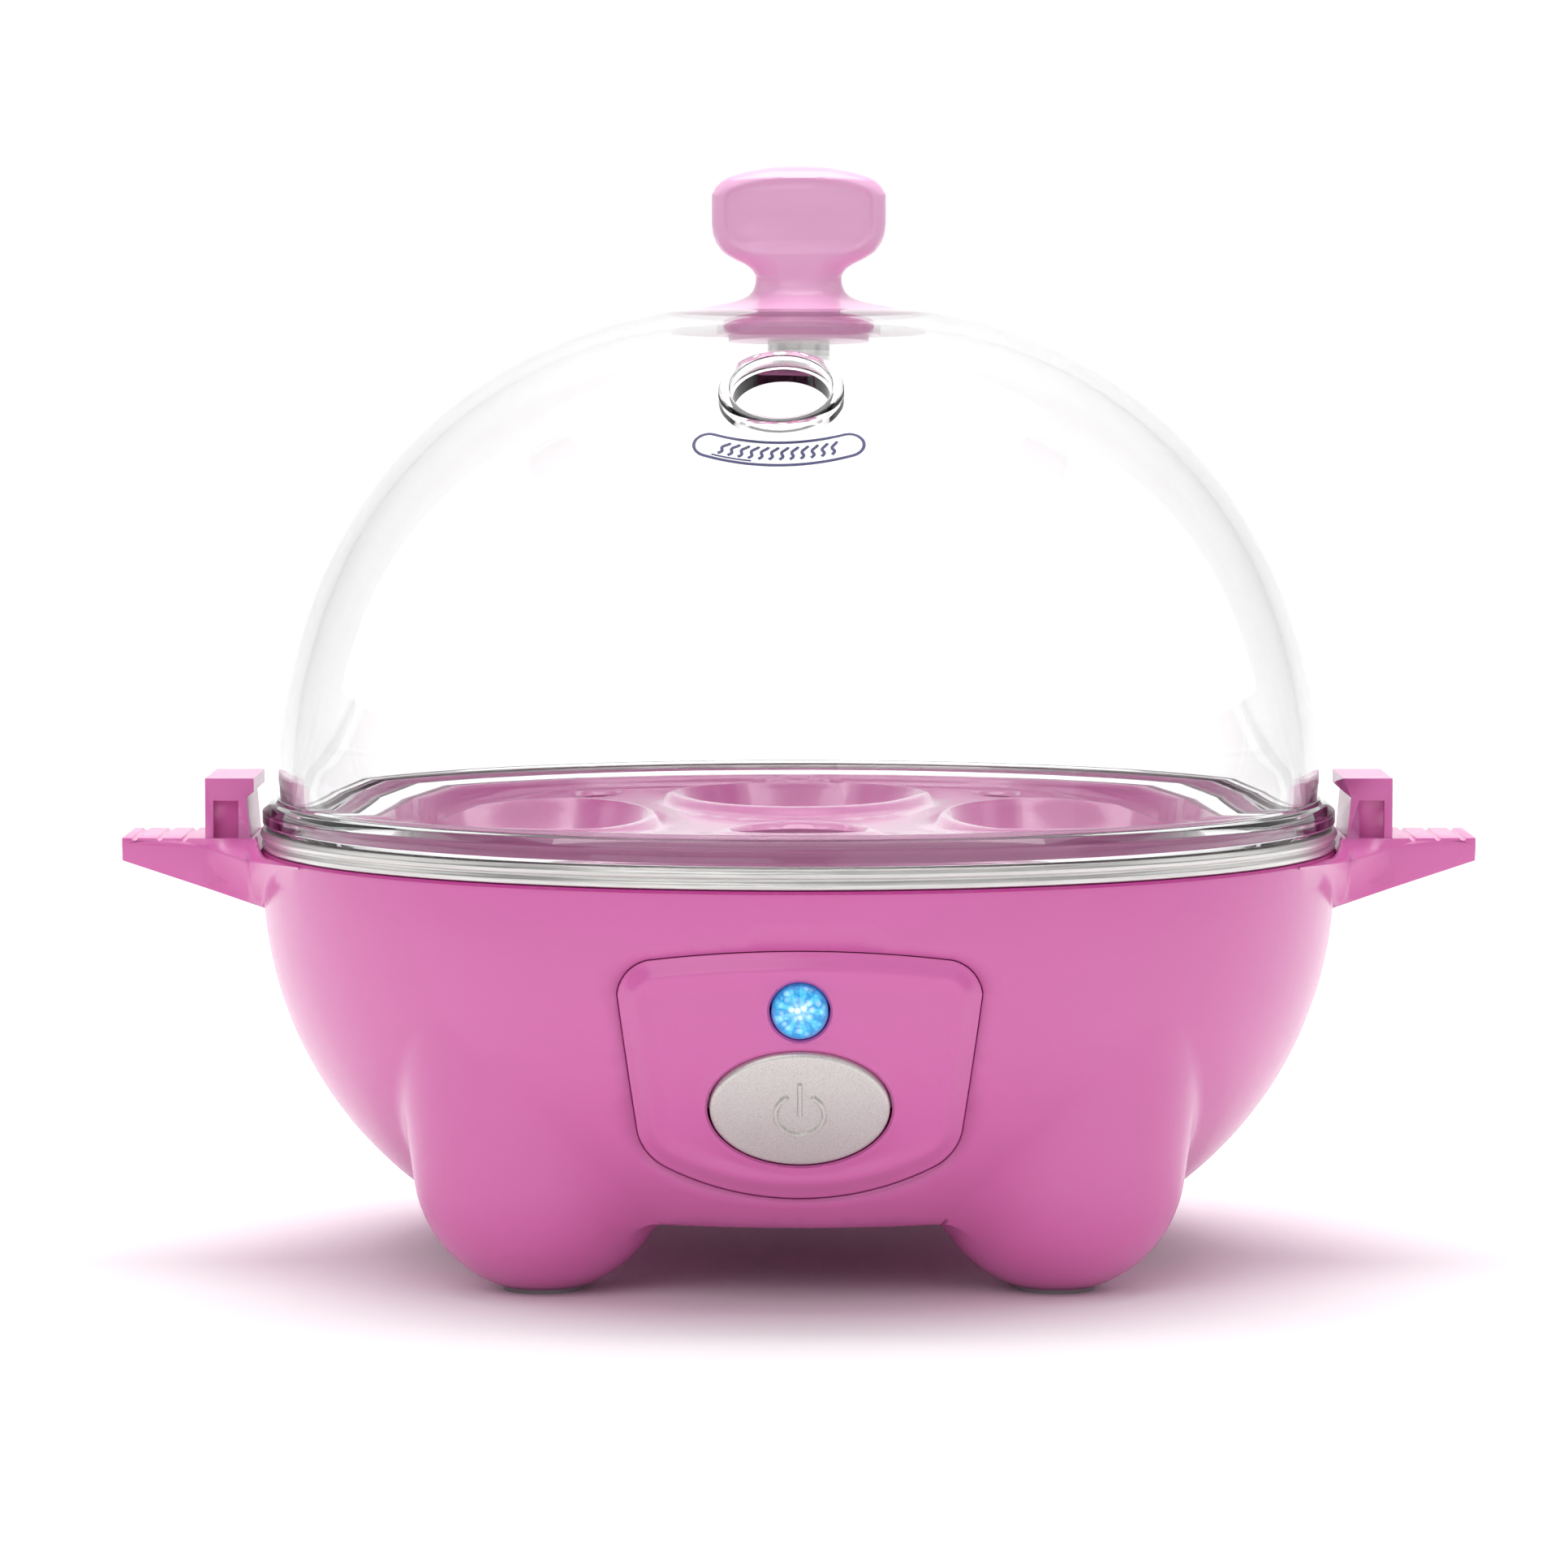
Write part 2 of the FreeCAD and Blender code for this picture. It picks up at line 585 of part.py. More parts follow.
seat_prism = raised("SeatPrism", widened(panel_outline, "panel_gap"), "40", "50", "XZ_Plane")
panel_seat = cut("PanelSeat", seat_prism, bowl_body("SeatCore", "panel_seat", "5", "54"))
button_hole = oval_out("ButtonHole", "button_wide + button_gap + 0.6",
                       "button_high + button_gap + 0.6", "6", "0 - 6", "button_tilt")
lamp_hole = rod_out("LampHole", "lens_radius + lens_gap", "6", "0 - 6",
                    "lamp_tilt")
gland_slot = fuse("GlandSlot", [
    cylinder("GlandSlotRound", "gland_radius + 0.1", "30", ("0", "gland_face + 5",
                                                            "gland_height"),
             (1, 0, 0), "90"),
    block("GlandSlotBlock", ("2 * gland_radius + 0.2", "30", "gland_height"),
          ("0 - gland_radius - 0.1", "gland_face - 25", "0"))])
pilot_holes = [cylinder(f"CoverPilot{name}", "1.25", "10", (x, y, "floor_underside - 1"))
               for name, x, y in COVER_SCREWS]
pilot_holes += [cylinder(f"PlateHole{name}", "1.7", "20",
                         round_axis("plate_pitch", turn, "plate_boss - 5"))
                for name, turn in PLATE_SCREWS]
pilot_holes += [rod_out(f"SwitchPilot{name}", "1.0", "bracket_front + 1", "6", "button_tilt",
                        f"{side} * bracket_pitch")
                for name, side in (("Left", -1), ("Right", 1))]
pad_holes = [cylinder("PadHole" + corner.title().replace("_", ""), "pad_stem + 0.05",
                      "pad_height", at_leg(*signs, "0 - 0.01"))
             for corner, signs in LEGS.items()]
outer_housing = cut("OuterHousing", with_bosses,
                    [panel_seat, button_hole, lamp_hole, gland_slot] + pilot_holes + pad_holes)

foot_pads = {
    corner: fuse("FootPad" + corner.title().replace("_", ""), [
        cylinder("PadDisc" + corner.title().replace("_", ""), "pad_radius", "leg_bottom",
                 at_leg(*signs, "0")),
        cylinder("PadStem" + corner.title().replace("_", ""), "pad_stem", "pad_height - 0.05",
                 at_leg(*signs, "0"))])
    for corner, signs in LEGS.items()}

# ---------------------------------------------------------------- control panel
panel_prism = raised("PanelPrism", panel_outline, "40", "50", "XZ_Plane")
panel_block = cut(
    "PanelBlock",
    common("PanelSkin", [panel_prism, bowl_body("PanelFace", "0 - panel_proud", "5", "54")]),
    bowl_body("PanelBack", "panel_seat", "4", "55"))
panel_holes = [
    oval_out("PanelButtonHole", "button_wide + button_gap", "button_high + button_gap", "8",
             "0 - 6", "button_tilt"),
    rod_out("PanelLampHole", "lens_radius + lens_gap", "6", "0 - 6", "lamp_tilt")]
control_panel = cut("ControlPanel", panel_block, panel_holes)

# lamp: a crowned lens in the panel and a lamp behind it in a rubber grommet
lens_ball = ball("LensBall", "(lens_radius ^ 2 + lens_crown ^ 2) / (2 * lens_crown)",
                 into_bowl("(lens_radius ^ 2 + lens_crown ^ 2) / (2 * lens_crown)"
                           " - panel_proud - lens_crown", "lamp_tilt"))
indicator_lens = common("IndicatorLens", [
    rod_out("LensRod", "lens_radius", "lens_end", "0 - panel_proud - lens_crown", "lamp_tilt"),
    lens_ball])
indicator_lamp = fuse("IndicatorLamp", [
    rod_out("LampBody", "lamp_radius", "grommet_end + 1", "lens_end + 0.2", "lamp_tilt"),
    rod_out("LampFlange", "lamp_radius + 0.5", "grommet_end + 1.8", "grommet_end + 1",
            "lamp_tilt")])
lamp_grommet = cut("LampGrommet",
                   rod_out("GrommetBody", "grommet_radius", "grommet_end", "lens_end + 0.1",
                           "lamp_tilt"),
                   rod_out("GrommetBore", "lamp_radius + 0.05", "12", "1", "lamp_tilt"))

# ---------------------------------------------------------------- button and switch
crown_radius = "((button_high ^ 2 + button_crown ^ 2) / (2 * button_crown))"
button_cap = oval_out("ButtonCap", "button_wide", "button_high", "button_back",
                      "0 - button_face - button_crown", "button_tilt")
crown = doc.addObject("Part::Ellipsoid", "ButtonCrown")
bind(crown, Radius1=f"{crown_radius} / 1", Radius2=f"{crown_radius} * button_wide / button_high",
     Radius3=crown_radius)
place(crown, into_bowl(f"{crown_radius} - button_face - button_crown", "button_tilt"),
      (1, 0, 0), "90 + button_tilt")
power_button = fuse("PowerButton", [
    common("ButtonFace", [button_cap, crown]),
    oval_out("ButtonFlange", "button_wide + flange_extra", "flange_high",
             "button_back", "flange_front", "button_tilt"),
    rod_out("ButtonStem", "stem_radius", "stem_end", "button_back - 0.5", "button_tilt")])
switch_plunger = rod_out("SwitchPlunger", "plunger_radius", "plunger_end", "stem_end",
                         "button_tilt")


def tilted_block(name, wide, high, deep, shallow, across="0"):
    """A block centred on the button's line, or beside it."""
    brick = doc.addObject("Part::Box", name)
    bind(brick, Length=wide, Width=high, Height=f"({deep}) - ({shallow})")
    x, y, z = into_bowl(deep, "button_tilt", f"{across} - ({wide}) / 2")
    # the block's own up runs out of the bowl, so its width runs down the bowl's face
    return place(brick, (x, f"{y} + ({high}) / 2 * sin(button_tilt)",
                         f"{z} - ({high}) / 2 * cos(button_tilt)"), (1, 0, 0),
                 "90 + button_tilt")


switch_bracket = cut(
    "SwitchBracket",
    tilted_block("BracketPlate", "2 * bracket_pitch + 8", "9",
                 "bracket_front + bracket_plate", "bracket_front"),
    [rod_out("BracketMiddle", "plunger_radius + 0.6", "20", "5", "button_tilt")]
    + [rod_out(f"BracketHole{name}", "1.3", "20", "5", "button_tilt",
               f"{side} * bracket_pitch") for name, side in (("Left", -1), ("Right", 1))])
switch_back = "(bracket_front + bracket_plate + switch_depth)"
push_switch = cut(
    "PushSwitch",
    fuse("SwitchSolid", [
        tilted_block("SwitchBody", "switch_width", "switch_height", switch_back,
                     "bracket_front + bracket_plate")]
        + [tilted_block(f"SwitchBlade{name}", "2.6", "0.8", f"{switch_back} + 5",
                        f"{switch_back} - 1", f"{side} * switch_width / 4")
           for name, side in (("Left", -1), ("Right", 1))]),
    rod_out("SwitchBore", "plunger_radius + 0.05", "plunger_end + button_travel + 0.6",
            "5", "button_tilt"))
switch_screws = group("SwitchScrews", [
    fuse(f"SwitchScrew{name}", [
        rod_out(f"SwitchScrewHead{name}", "2.4", "bracket_front + bracket_plate + 1.6",
                "bracket_front + bracket_plate", "button_tilt", f"{side} * bracket_pitch"),
        rod_out(f"SwitchScrewShank{name}", "0.95", "bracket_front + bracket_plate + 0.5",
                "8", "button_tilt", f"{side} * bracket_pitch")])
    for name, side in (("Left", -1), ("Right", 1))])

coil = doc.addObject("Part::Helix", "SpringPath")
spring_length = "(bracket_front - button_back - 2 * spring_wire - 0.1)"
bind(coil, Radius="spring_radius", Pitch=f"{spring_length} / spring_turns",
     Height=spring_length)
wire_ring = doc.addObject("Part::Circle", "SpringWire")
bind(wire_ring, Radius="spring_wire")
place(wire_ring, ("spring_radius", "0", "0"), (1, 0, 0), "90")
spring_sweep = doc.addObject("Part::Sweep", "SpringSweep")
spring_sweep.Sections = [wire_ring]
spring_sweep.Spine = (coil, [])
spring_sweep.Solid = True
spring_sweep.Frenet = True
place(spring_sweep, into_bowl("bracket_front - spring_wire - 0.05", "button_tilt"),
      (1, 0, 0), "90 + button_tilt")

# ---------------------------------------------------------------- water pan and heater
heating_plate = turned("HeatingPlate", [
    ("0", "pan_floor - pan_sheet"),
    ("pan_radius", "pan_floor - pan_sheet"),
    ("ledge_inner - 1", "ledge_height - 3"),
    ("ledge_inner", "ledge_height - pan_sheet"),
    ("rim_inner + 0.6", "ledge_height - pan_sheet"),
    ("rim_inner + 0.6", "rim_bottom"),
    ("rim_radius - rim_roll", "rim_bottom"),
    ("rim_radius", "rim_bottom + rim_roll", "rim_roll"),
    ("rim_radius", "rim_top - rim_roll"),
    ("rim_radius - rim_roll", "rim_top", "rim_roll"),
    ("rim_inner", "rim_top"),
    ("rim_inner - 0.3", "ledge_height"),
    ("ledge_inner - 0.4", "ledge_height"),
    ("ledge_inner - 2", "ledge_height - 2.6"),
    ("pan_radius - 0.6", "pan_floor"),
    ("0", "pan_floor")])
plate_gasket = turned("PlateGasket", [
    ("bowl_arc_offset + bowl_arc_radius - bowl_wall + 0.1", "bowl_top"),
    ("bowl_arc_offset + bowl_arc_radius + 0.1", "bowl_top"),
    ("bowl_arc_offset + bowl_arc_radius + 0.1", "rim_bottom"),
    ("bowl_arc_offset + bowl_arc_radius - bowl_wall + 0.1", "rim_bottom")])
spreader_bottom = "(pan_floor - pan_sheet - spreader_plate)"
heat_spreader = cylinder("HeatSpreader", "spreader_radius", "spreader_plate",
                         ("0", "0", spreader_bottom))
element = doc.addObject("Part::Torus", "ElementRing")
bind(element, Radius1="element_ring", Radius2="element_radius", Angle3="element_sweep")
place(element, ("0", "0", f"{spreader_bottom} - element_radius"), (0, 0, 1),
      "270 + (360 - element_sweep) / 2")
terminal_turn = "(270 + {side} * (360 - element_sweep) / 2)"
element_pins = [cylinder(f"ElementPin{name}", "1.5", "12",
                         round_axis("element_ring", terminal_turn.format(side=side),
                                    f"{spreader_bottom} - element_radius - 12"))
                for name, side in (("Left", -1), ("Right", 1))]
heating_element = fuse("HeatingElement", [element] + element_pins)
thermostat = fuse("Thermostat", [
    cylinder("ThermostatCap", "8.5", "4", ("0", "0", f"{spreader_bottom} - 4")),
    cylinder("ThermostatBody", "7.6", "8.5", ("0", "0", f"{spreader_bottom} - 12")),
    block("ThermostatEars", ("31", "7", "0.8"), ("0 - 15.5", "0 - 3.5",
                                                f"{spreader_bottom} - 0.8")),
    block("ThermostatBladeLeft", ("0.8", "5", "6"), ("0 - 4.9", "0 - 2.5",
                                                    f"{spreader_bottom} - 18")),
    block("ThermostatBladeRight", ("0.8", "5", "6"), ("4.1", "0 - 2.5",
                                                     f"{spreader_bottom} - 18"))])
thermostat_screws = group("ThermostatScrews", [
    cylinder(f"ThermostatScrew{name}", "2.2", "1.8",
             (f"{side} * 12.2", "0", f"{spreader_bottom} - 2.6"))
    for name, side in (("Left", -1), ("Right", 1))])
thermal_fuse = cylinder("ThermalFuse", "1.9", "13",
                        ("0 - 6.5", "20", f"{spreader_bottom} - 1.9"), (0, 1, 0), "90")
fuse_clip = cut("FuseClip", block("ClipBlock", ("4", "13", "4.4"),
                                  ("0 - 2", "17.3", f"{spreader_bottom} - 4.4")),
                [cylinder("ClipBore", "1.95", "20", ("0 - 10", "20",
                                                    f"{spreader_bottom} - 1.9"),
                          (0, 1, 0), "90"),
                 block("ClipRelief", ("6", "8", "3.6"), ("0 - 3", "22.8",
                                                         f"{spreader_bottom} - 4.4 - 0.01"))])
plate_nuts = group("PlateNuts", [
    cut(f"PlateNut{name}",
        cylinder(f"NutBody{name}", "2.0", "ledge_height - pan_sheet - bowl_top + 2.2",
                 round_axis("plate_pitch", turn, "bowl_top - 2.2")),
        cylinder(f"NutBore{name}", "1.5", "20",
                 round_axis("plate_pitch", turn, "40")))
    for name, turn in PLATE_SCREWS])
plate_screws = group("PlateScrews", [
    fuse(f"PlateScrew{name}", [
        cylinder(f"PlateScrewHead{name}", "2.2", "1.8",
                 round_axis("plate_pitch", turn, "plate_boss - 1.8")),
        cylinder(f"PlateScrewShank{name}", "1.45", "12.5",
                 round_axis("plate_pitch", turn, "plate_boss - 1"))])
    for name, turn in PLATE_SCREWS])

# ---------------------------------------------------------------- bottom cover and board
board_left = "0 - board_width / 2"
board_front = "board_centre - board_depth / 2"
BOARD_SCREWS = [("FrontLeft", -1, -1), ("FrontRight", 1, -1),
                ("RearLeft", -1, 1), ("RearRight", 1, 1)]


def at_board(side, end, height):
    return (f"{side} * (board_width / 2 - board_inset)",
            f"board_centre + {end} * (board_depth / 2 - board_inset)", height)


cover_disc = cut("CoverDisc",
                 cylinder("CoverRound", "cover_radius", "cover_plate",
                          ("0", "0", "floor_underside - cover_plate")),
                 leg_discs("CoverScallop", "leg_scallop + 0.2", "bowl_bottom - 2", "10"))
board_posts = [cylinder(f"BoardPost{name}", "2.8", "board_height - floor_underside + 0.5",
                        at_board(side, end, "floor_underside - 0.5"))
               for name, side, end in BOARD_SCREWS]
cover_holes = [cylinder(f"CoverHole{name}", "1.7", "10", (x, y, "5"))
               for name, x, y in COVER_SCREWS]
cover_holes += [cylinder(f"CoverSink{name}", "3.2", "1.2 + 5",
                         (x, y, "floor_underside - cover_plate - 5"))
                for name, x, y in COVER_SCREWS]
cover_holes += [cylinder(f"BoardPilot{name}", "0.9", "6", at_board(side, end,
                                                                 "board_height - 5"))
                for name, side, end in BOARD_SCREWS]
cover_holes += [block(f"CoverSlot{number}", ("22", "1.8", "5"),
                      ("0 - 11", f"0 - 34 + {number} * 4", "bowl_bottom - 1"))
                for number in range(4)]
bottom_cover = cut("BottomCover", fuse("CoverWithPosts", [cover_disc] + board_posts),
                   cover_holes)
cover_screws = group("CoverScrews", [
    fuse(f"CoverScrew{name}", [
        cylinder(f"CoverScrewHead{name}", "3.0", "1.1",
                 (x, y, "floor_underside - cover_plate + 0.1")),
        cylinder(f"CoverScrewShank{name}", "1.2", "9",
                 (x, y, "floor_underside - cover_plate + 0.5"))])
    for name, x, y in COVER_SCREWS])
circuit_board = cut("CircuitBoard",
                    block("BoardPlate", ("board_width", "board_depth", "board_plate"),
                          (board_left, board_front, "board_height")),
                    [cylinder(f"BoardHole{name}", "1.1", "5",
                              at_board(side, end, "board_height - 1"))
                     for name, side, end in BOARD_SCREWS])
board_top = "(board_height + board_plate)"
board_screws = group("BoardScrews", [
    fuse(f"BoardScrew{name}", [
        cylinder(f"BoardScrewHead{name}", "2.0", "1.3", at_board(side, end, board_top)),
        cylinder(f"BoardScrewShank{name}", "0.85", "5.5",
                 at_board(side, end, f"{board_top} - 5"))])
    for name, side, end in BOARD_SCREWS])
buzzer = cut("Buzzer", cylinder("BuzzerBody", "6", "5", ("0 - 10", "board_centre - 3",
                                                        board_top)),
             cylinder("BuzzerHole", "1.0", "3", ("0 - 10", "board_centre - 3",
                                                 f"{board_top} + 3")))
terminal_block = cut("TerminalBlock",
                     block("TerminalBody", ("21", "8", "9"),
                           ("0 - 7", "board_centre + 4", board_top)),
                     [cylinder(f"TerminalWell{number}", "1.6", "5",
                               (f"0 - 3 + {number} * 6.5", "board_centre + 8",
                                f"{board_top} + 5")) for number in range(3)])

# ---------------------------------------------------------------- cord gland
cord_gland = cut("CordGland", fuse("GlandSolid", [
    cylinder("GlandBody", "gland_radius", "gland_face - gland_inner",
             ("0", "gland_face", "gland_height"), (1, 0, 0), "90"),
    cylinder("GlandFlange", "gland_flange", "gland_proud",
             ("0", "gland_face + gland_proud", "gland_height"), (1, 0, 0), "90")]),
    cylinder("GlandBore", "gland_bore", "60", ("0", "gland_face + 20", "gland_height"),
             (1, 0, 0), "90"))

# ---------------------------------------------------------------- wires
def bent_wire(route, radius, bend):
    """A round wire along straight runs joined by arcs that touch both runs."""
    points = [Vector(*p) for p in route]
    edges, start = [], points[0]
    for before, corner, after in zip(points, points[1:], points[2:]):
        back = (before - corner).normalize()
        ahead = (after - corner).normalize()
        half = back.getAngle(ahead) / 2
        first, last = (corner + run * (bend / math.tan(half)) for run in (back, ahead))
        middle = corner + (back + ahead).normalize() * (bend / math.sin(half) - bend)
        edges.append(Part.LineSegment(start, first).toShape())
        edges.append(Part.Arc(first, middle, last).toShape())
        start = last
    edges.append(Part.LineSegment(start, points[-1]).toShape())
    pipe = Part.BRepOffsetAPI.MakePipeShell(Part.Wire(edges))
    pipe.setFrenetMode(True)
    pipe.add(Part.Wire([Part.Circle(points[0], points[1] - points[0], radius).toShape()]))
    pipe.build()
    pipe.makeSolid()
    return pipe.shape()


def wires(name, routes):
    """Like wires as one object; their routes are read from the sheet above."""
    thing = doc.addObject("Part::Feature", name)
    radius, bend = value_of("wire_radius"), value_of("wire_bend")
    thing.Shape = Part.makeCompound([bent_wire(route, radius, bend) for route in routes])
    return thing


over_board = value_of(board_top) + 5.3
on_board = value_of(board_top)
gland_z = value_of("gland_height")
pin_x = value_of("element_ring * sin((360 - element_sweep) / 2)")
pin_y = -value_of("element_ring * cos((360 - element_sweep) / 2)")
pin_z = value_of(f"{spreader_bottom} - element_radius - 12")
_, blade_y, blade_z = (value_of(e) for e in into_bowl(f"{switch_back} + 5.6", "button_tilt"))
_, lamp_y, lamp_z = (value_of(e) for e in into_bowl("grommet_end + 2.6", "lamp_tilt"))
terminal_y = value_of("board_centre + 4 + 8")
blade_x = value_of("switch_width / 4")
SIDES = (-1, 1)
mains_wires = wires("MainsWires", [
    [(side * 1.5, 49, gland_z), (side * 1.5, 41, gland_z), (3 + side * 3, 32, on_board + 4),
     (3 + side * 3, terminal_y, on_board + 4)] for side in SIDES])
heater_wires = wires("HeaterWires", [
    [(side * pin_x, pin_y, pin_z), (side * pin_x, pin_y, over_board),
     (side * 12.5, -6, over_board), (side * 12.5, -6, on_board)] for side in SIDES])
switch_wires = wires("SwitchWires", [
    [(side * blade_x, blade_y, blade_z), (side * blade_x, blade_y + 6, blade_z - 3.2),
     (side * blade_x, -20, over_board), (side * blade_x, -7, over_board),
     (side * blade_x, -7, on_board)] for side in SIDES])
lamp_wires = wires("LampWires", [
    [(side * 1.2, lamp_y, lamp_z), (side * 9, -52, lamp_z - 0.6),
     (side * 9, -36, 30), (side * 9, -6, over_board), (side * 9, -6, on_board)]
    for side in SIDES])

# ---------------------------------------------------------------- egg tray
SEATS = range(6)
tray_plate = turned("TrayPlate", [
    ("0", "tray_deck - tray_wall"),
    ("tray_radius - tray_rim - tray_wall + 0.6", "tray_deck - tray_wall"),
    ("tray_radius - tray_wall", "tray_top - tray_wall"),
    ("tray_radius - tray_wall", "tray_bottom"),
    ("tray_radius", "tray_bottom"),
    ("tray_radius", "tray_top - 0.8"),
    ("tray_radius - 0.8", "tray_top", "0.8"),
    ("tray_radius - tray_rim", "tray_top"),
    ("tray_radius - tray_rim - 1.4", "tray_deck"),
    ("0", "tray_deck")])
seat_cups = [cone(f"SeatCup{seat}", "seat_foot + tray_wall", "seat_mouth + tray_wall",
                  "seat_depth", round_axis("seat_pitch", 60 * seat + 30,
                                           "tray_deck - seat_depth")) for seat in SEATS]
seat_bores = [cone(f"SeatBore{seat}", "seat_foot", "seat_mouth", "seat_depth",
                   round_axis("seat_pitch", 60 * seat + 30, "tray_deck - seat_depth"))
              for seat in SEATS]
seat_bores += [cylinder(f"SeatMouth{seat}", "seat_mouth", "3",
                        round_axis("seat_pitch", 60 * seat + 30, "tray_deck - 0.001"))
               for seat in SEATS]
steam_holes = [cylinder(f"SteamHole{seat}", "steam_radius", "12",
                        round_axis("1.3 * seat_pitch", 60 * seat, "tray_deck - 8"))
               for seat in SEATS]
steam_holes.append(cylinder("SteamMiddle", "3 * steam_radius", "12",
                            ("0", "0", "tray_deck - 8")))
egg_tray = cut("EggTray", fuse("TraySolid", [tray_plate] + seat_cups),
               seat_bores + steam_holes)

# ---------------------------------------------------------------- dome
side_centre = "(lid_radius - lid_side_arc)"
crown_offset = f"({side_centre} + (lid_side_arc - lid_crown_arc) * cos(lid_side_angle))"
crown_height = "(lid_base + (lid_side_arc - lid_crown_arc) * sin(lid_side_angle))"


def dome_corners(inset, bottom):
    """Outline of the dome's surface moved inwards, from the axis out and back."""
    side = f"(lid_side_arc - ({inset}))"
    top = f"(lid_crown_arc - ({inset}))"
    return [("0", bottom), (f"lid_radius - ({inset})", bottom),
            (f"lid_radius - ({inset})", "lid_base"),
            (f"{side_centre} + {side} * cos(lid_side_angle)",
             f"lid_base + {side} * sin(lid_side_angle)", side),
            (crown_offset, f"{crown_height} + {top}", top),
            ("0", f"{crown_height} + {top}")]


def on_dome(distance):
    """A place on the line square to the crown at the vent, seen from the lid's axis."""
    reach = f"({crown_offset} + (lid_crown_arc + ({distance})) * sin(vent_tilt))"
    return (f"0 - {reach} * sin(vent_turn)", f"0 - {reach} * cos(vent_turn)",
            f"{crown_height} + (lid_crown_arc + ({distance})) * cos(vent_tilt)")


def vent_rod(name, radius, low, high):
    """A cylinder through the crown at the vent."""
    rod = doc.addObject("Part::Cylinder", name)
    bind(rod, Radius=radius, Height=f"({high}) - ({low})")
    turn, lean = value_of("vent_turn"), value_of("vent_tilt")
    square = Rotation(Vector(0, 0, 1), -turn).multiply(Rotation(Vector(1, 0, 0), lean))
    rod.Placement = Placement(Vector(*[value_of(e) for e in on_dome(low)]), square)
    for letter, expression in zip("xyz", on_dome(low)):
        rod.setExpression(f"Placement.Base.{letter}", bound(expression))
    return rod


flange = turned("LidFlange", [
    ("lid_radius - lid_wall", "lid_bottom"),
    ("flange_radius - 0.6", "lid_bottom"),
    ("flange_radius", "lid_bottom + 0.6", "0.6"),
    ("flange_radius", "flange_top - 1.1"),
    ("flange_radius - 1.1", "flange_top", "1.1"),
    ("lid_radius", "flange_top + 0.6"),
    ("lid_radius - lid_wall", "flange_top + 0.6")])
dome_skin = turned("DomeSkin", dome_corners("0", "lid_bottom + 0.5"))
dome_with_collar = fuse("DomeWithCollar", [
    dome_skin, flange, vent_rod("VentCollar", "vent_collar", "0 - 1", "vent_height")])
dome_lid = cut("DomeLid", dome_with_collar, [
    turned("DomeHollow", dome_corners("lid_wall", "lid_bottom - 5")),
    vent_rod("VentHole", "vent_hole", "0 - 12", "8"),
    cylinder("KnobScrewHole", "screw_shank + 0.3", "20",
             ("0", "0", f"{crown_height} + lid_crown_arc - 10"))])

# ---------------------------------------------------------------- knob, washer and screw
dome_top = f"({crown_height} + lid_crown_arc)"
knob_foot = cut("KnobFoot", turned("KnobFootSolid", [
    ("0", f"{dome_top} - 3"), ("knob_base", f"{dome_top} - 3"),
    ("knob_base", f"{dome_top} - 0.35"),
    ("knob_neck + 3.4", "knob_neck_z - 2.8", "-60"),
    ("knob_neck", "knob_neck_z", "-3.2"),
    ("0", "knob_neck_z")]), turned("KnobFootSeat", dome_corners("0", "lid_base + 30")))
knob_grip = common("KnobGrip", [
    turned("KnobGripOutline", [
        ("0", "knob_neck_z - 2"), ("knob_neck", "knob_neck_z - 2"),
        ("knob_neck", "knob_neck_z + 0.4"),
        ("knob_neck + 1.6", "knob_neck_z + 2.2", "-2.2"),
        ("knob_half - 0.2", "knob_half_z - 2.6", "7"),
        ("knob_half", "knob_half_z + 2.3"),
        ("knob_half - 2.2", "knob_top - 1.6", "3.2"),
        ("0", "knob_top", "28")]),
    block("KnobSlab", ("4 * knob_half", "knob_thick", "30"),
          ("0 - 2 * knob_half", "0 - knob_thick / 2", "knob_neck_z - 2"))])
lid_knob = cut("LidKnob", fuse("KnobSolid", [knob_foot, knob_grip]),
               cylinder("KnobPilot", "screw_shank + 0.05", "screw_reach + 5",
                        ("0", "0", f"{dome_top} - 4")))
dome_under = f"({dome_top} - lid_wall - 0.05)"
knob_washer = cut("KnobWasher", fuse("WasherSolid", [
    cylinder("WasherWide", "washer_radius", "washer_plate / 2",
             ("0", "0", f"{dome_under} - washer_plate / 2")),
    cylinder("WasherNarrow", "washer_radius - 1.6", "washer_plate",
             ("0", "0", f"{dome_under} - washer_plate"))]),
    cylinder("WasherHole", "screw_shank + 0.2", "10", ("0", "0", f"{dome_under} - 6")))
knob_screw = cut("KnobScrew", fuse("ScrewSolid", [
    cylinder("ScrewHead", "screw_head", "2.8",
             ("0", "0", f"{dome_under} - washer_plate - 2.8")),
    cylinder("ScrewShank", "screw_shank", "screw_reach + lid_wall + washer_plate - 1",
             ("0", "0", f"{dome_under} - washer_plate"))]),
    block("ScrewSlot", ("2 * screw_head + 2", "1.1", "1.3"),
          ("0 - screw_head - 1", "0 - 0.55", f"{dome_under} - washer_plate - 2.8 - 0.01")))

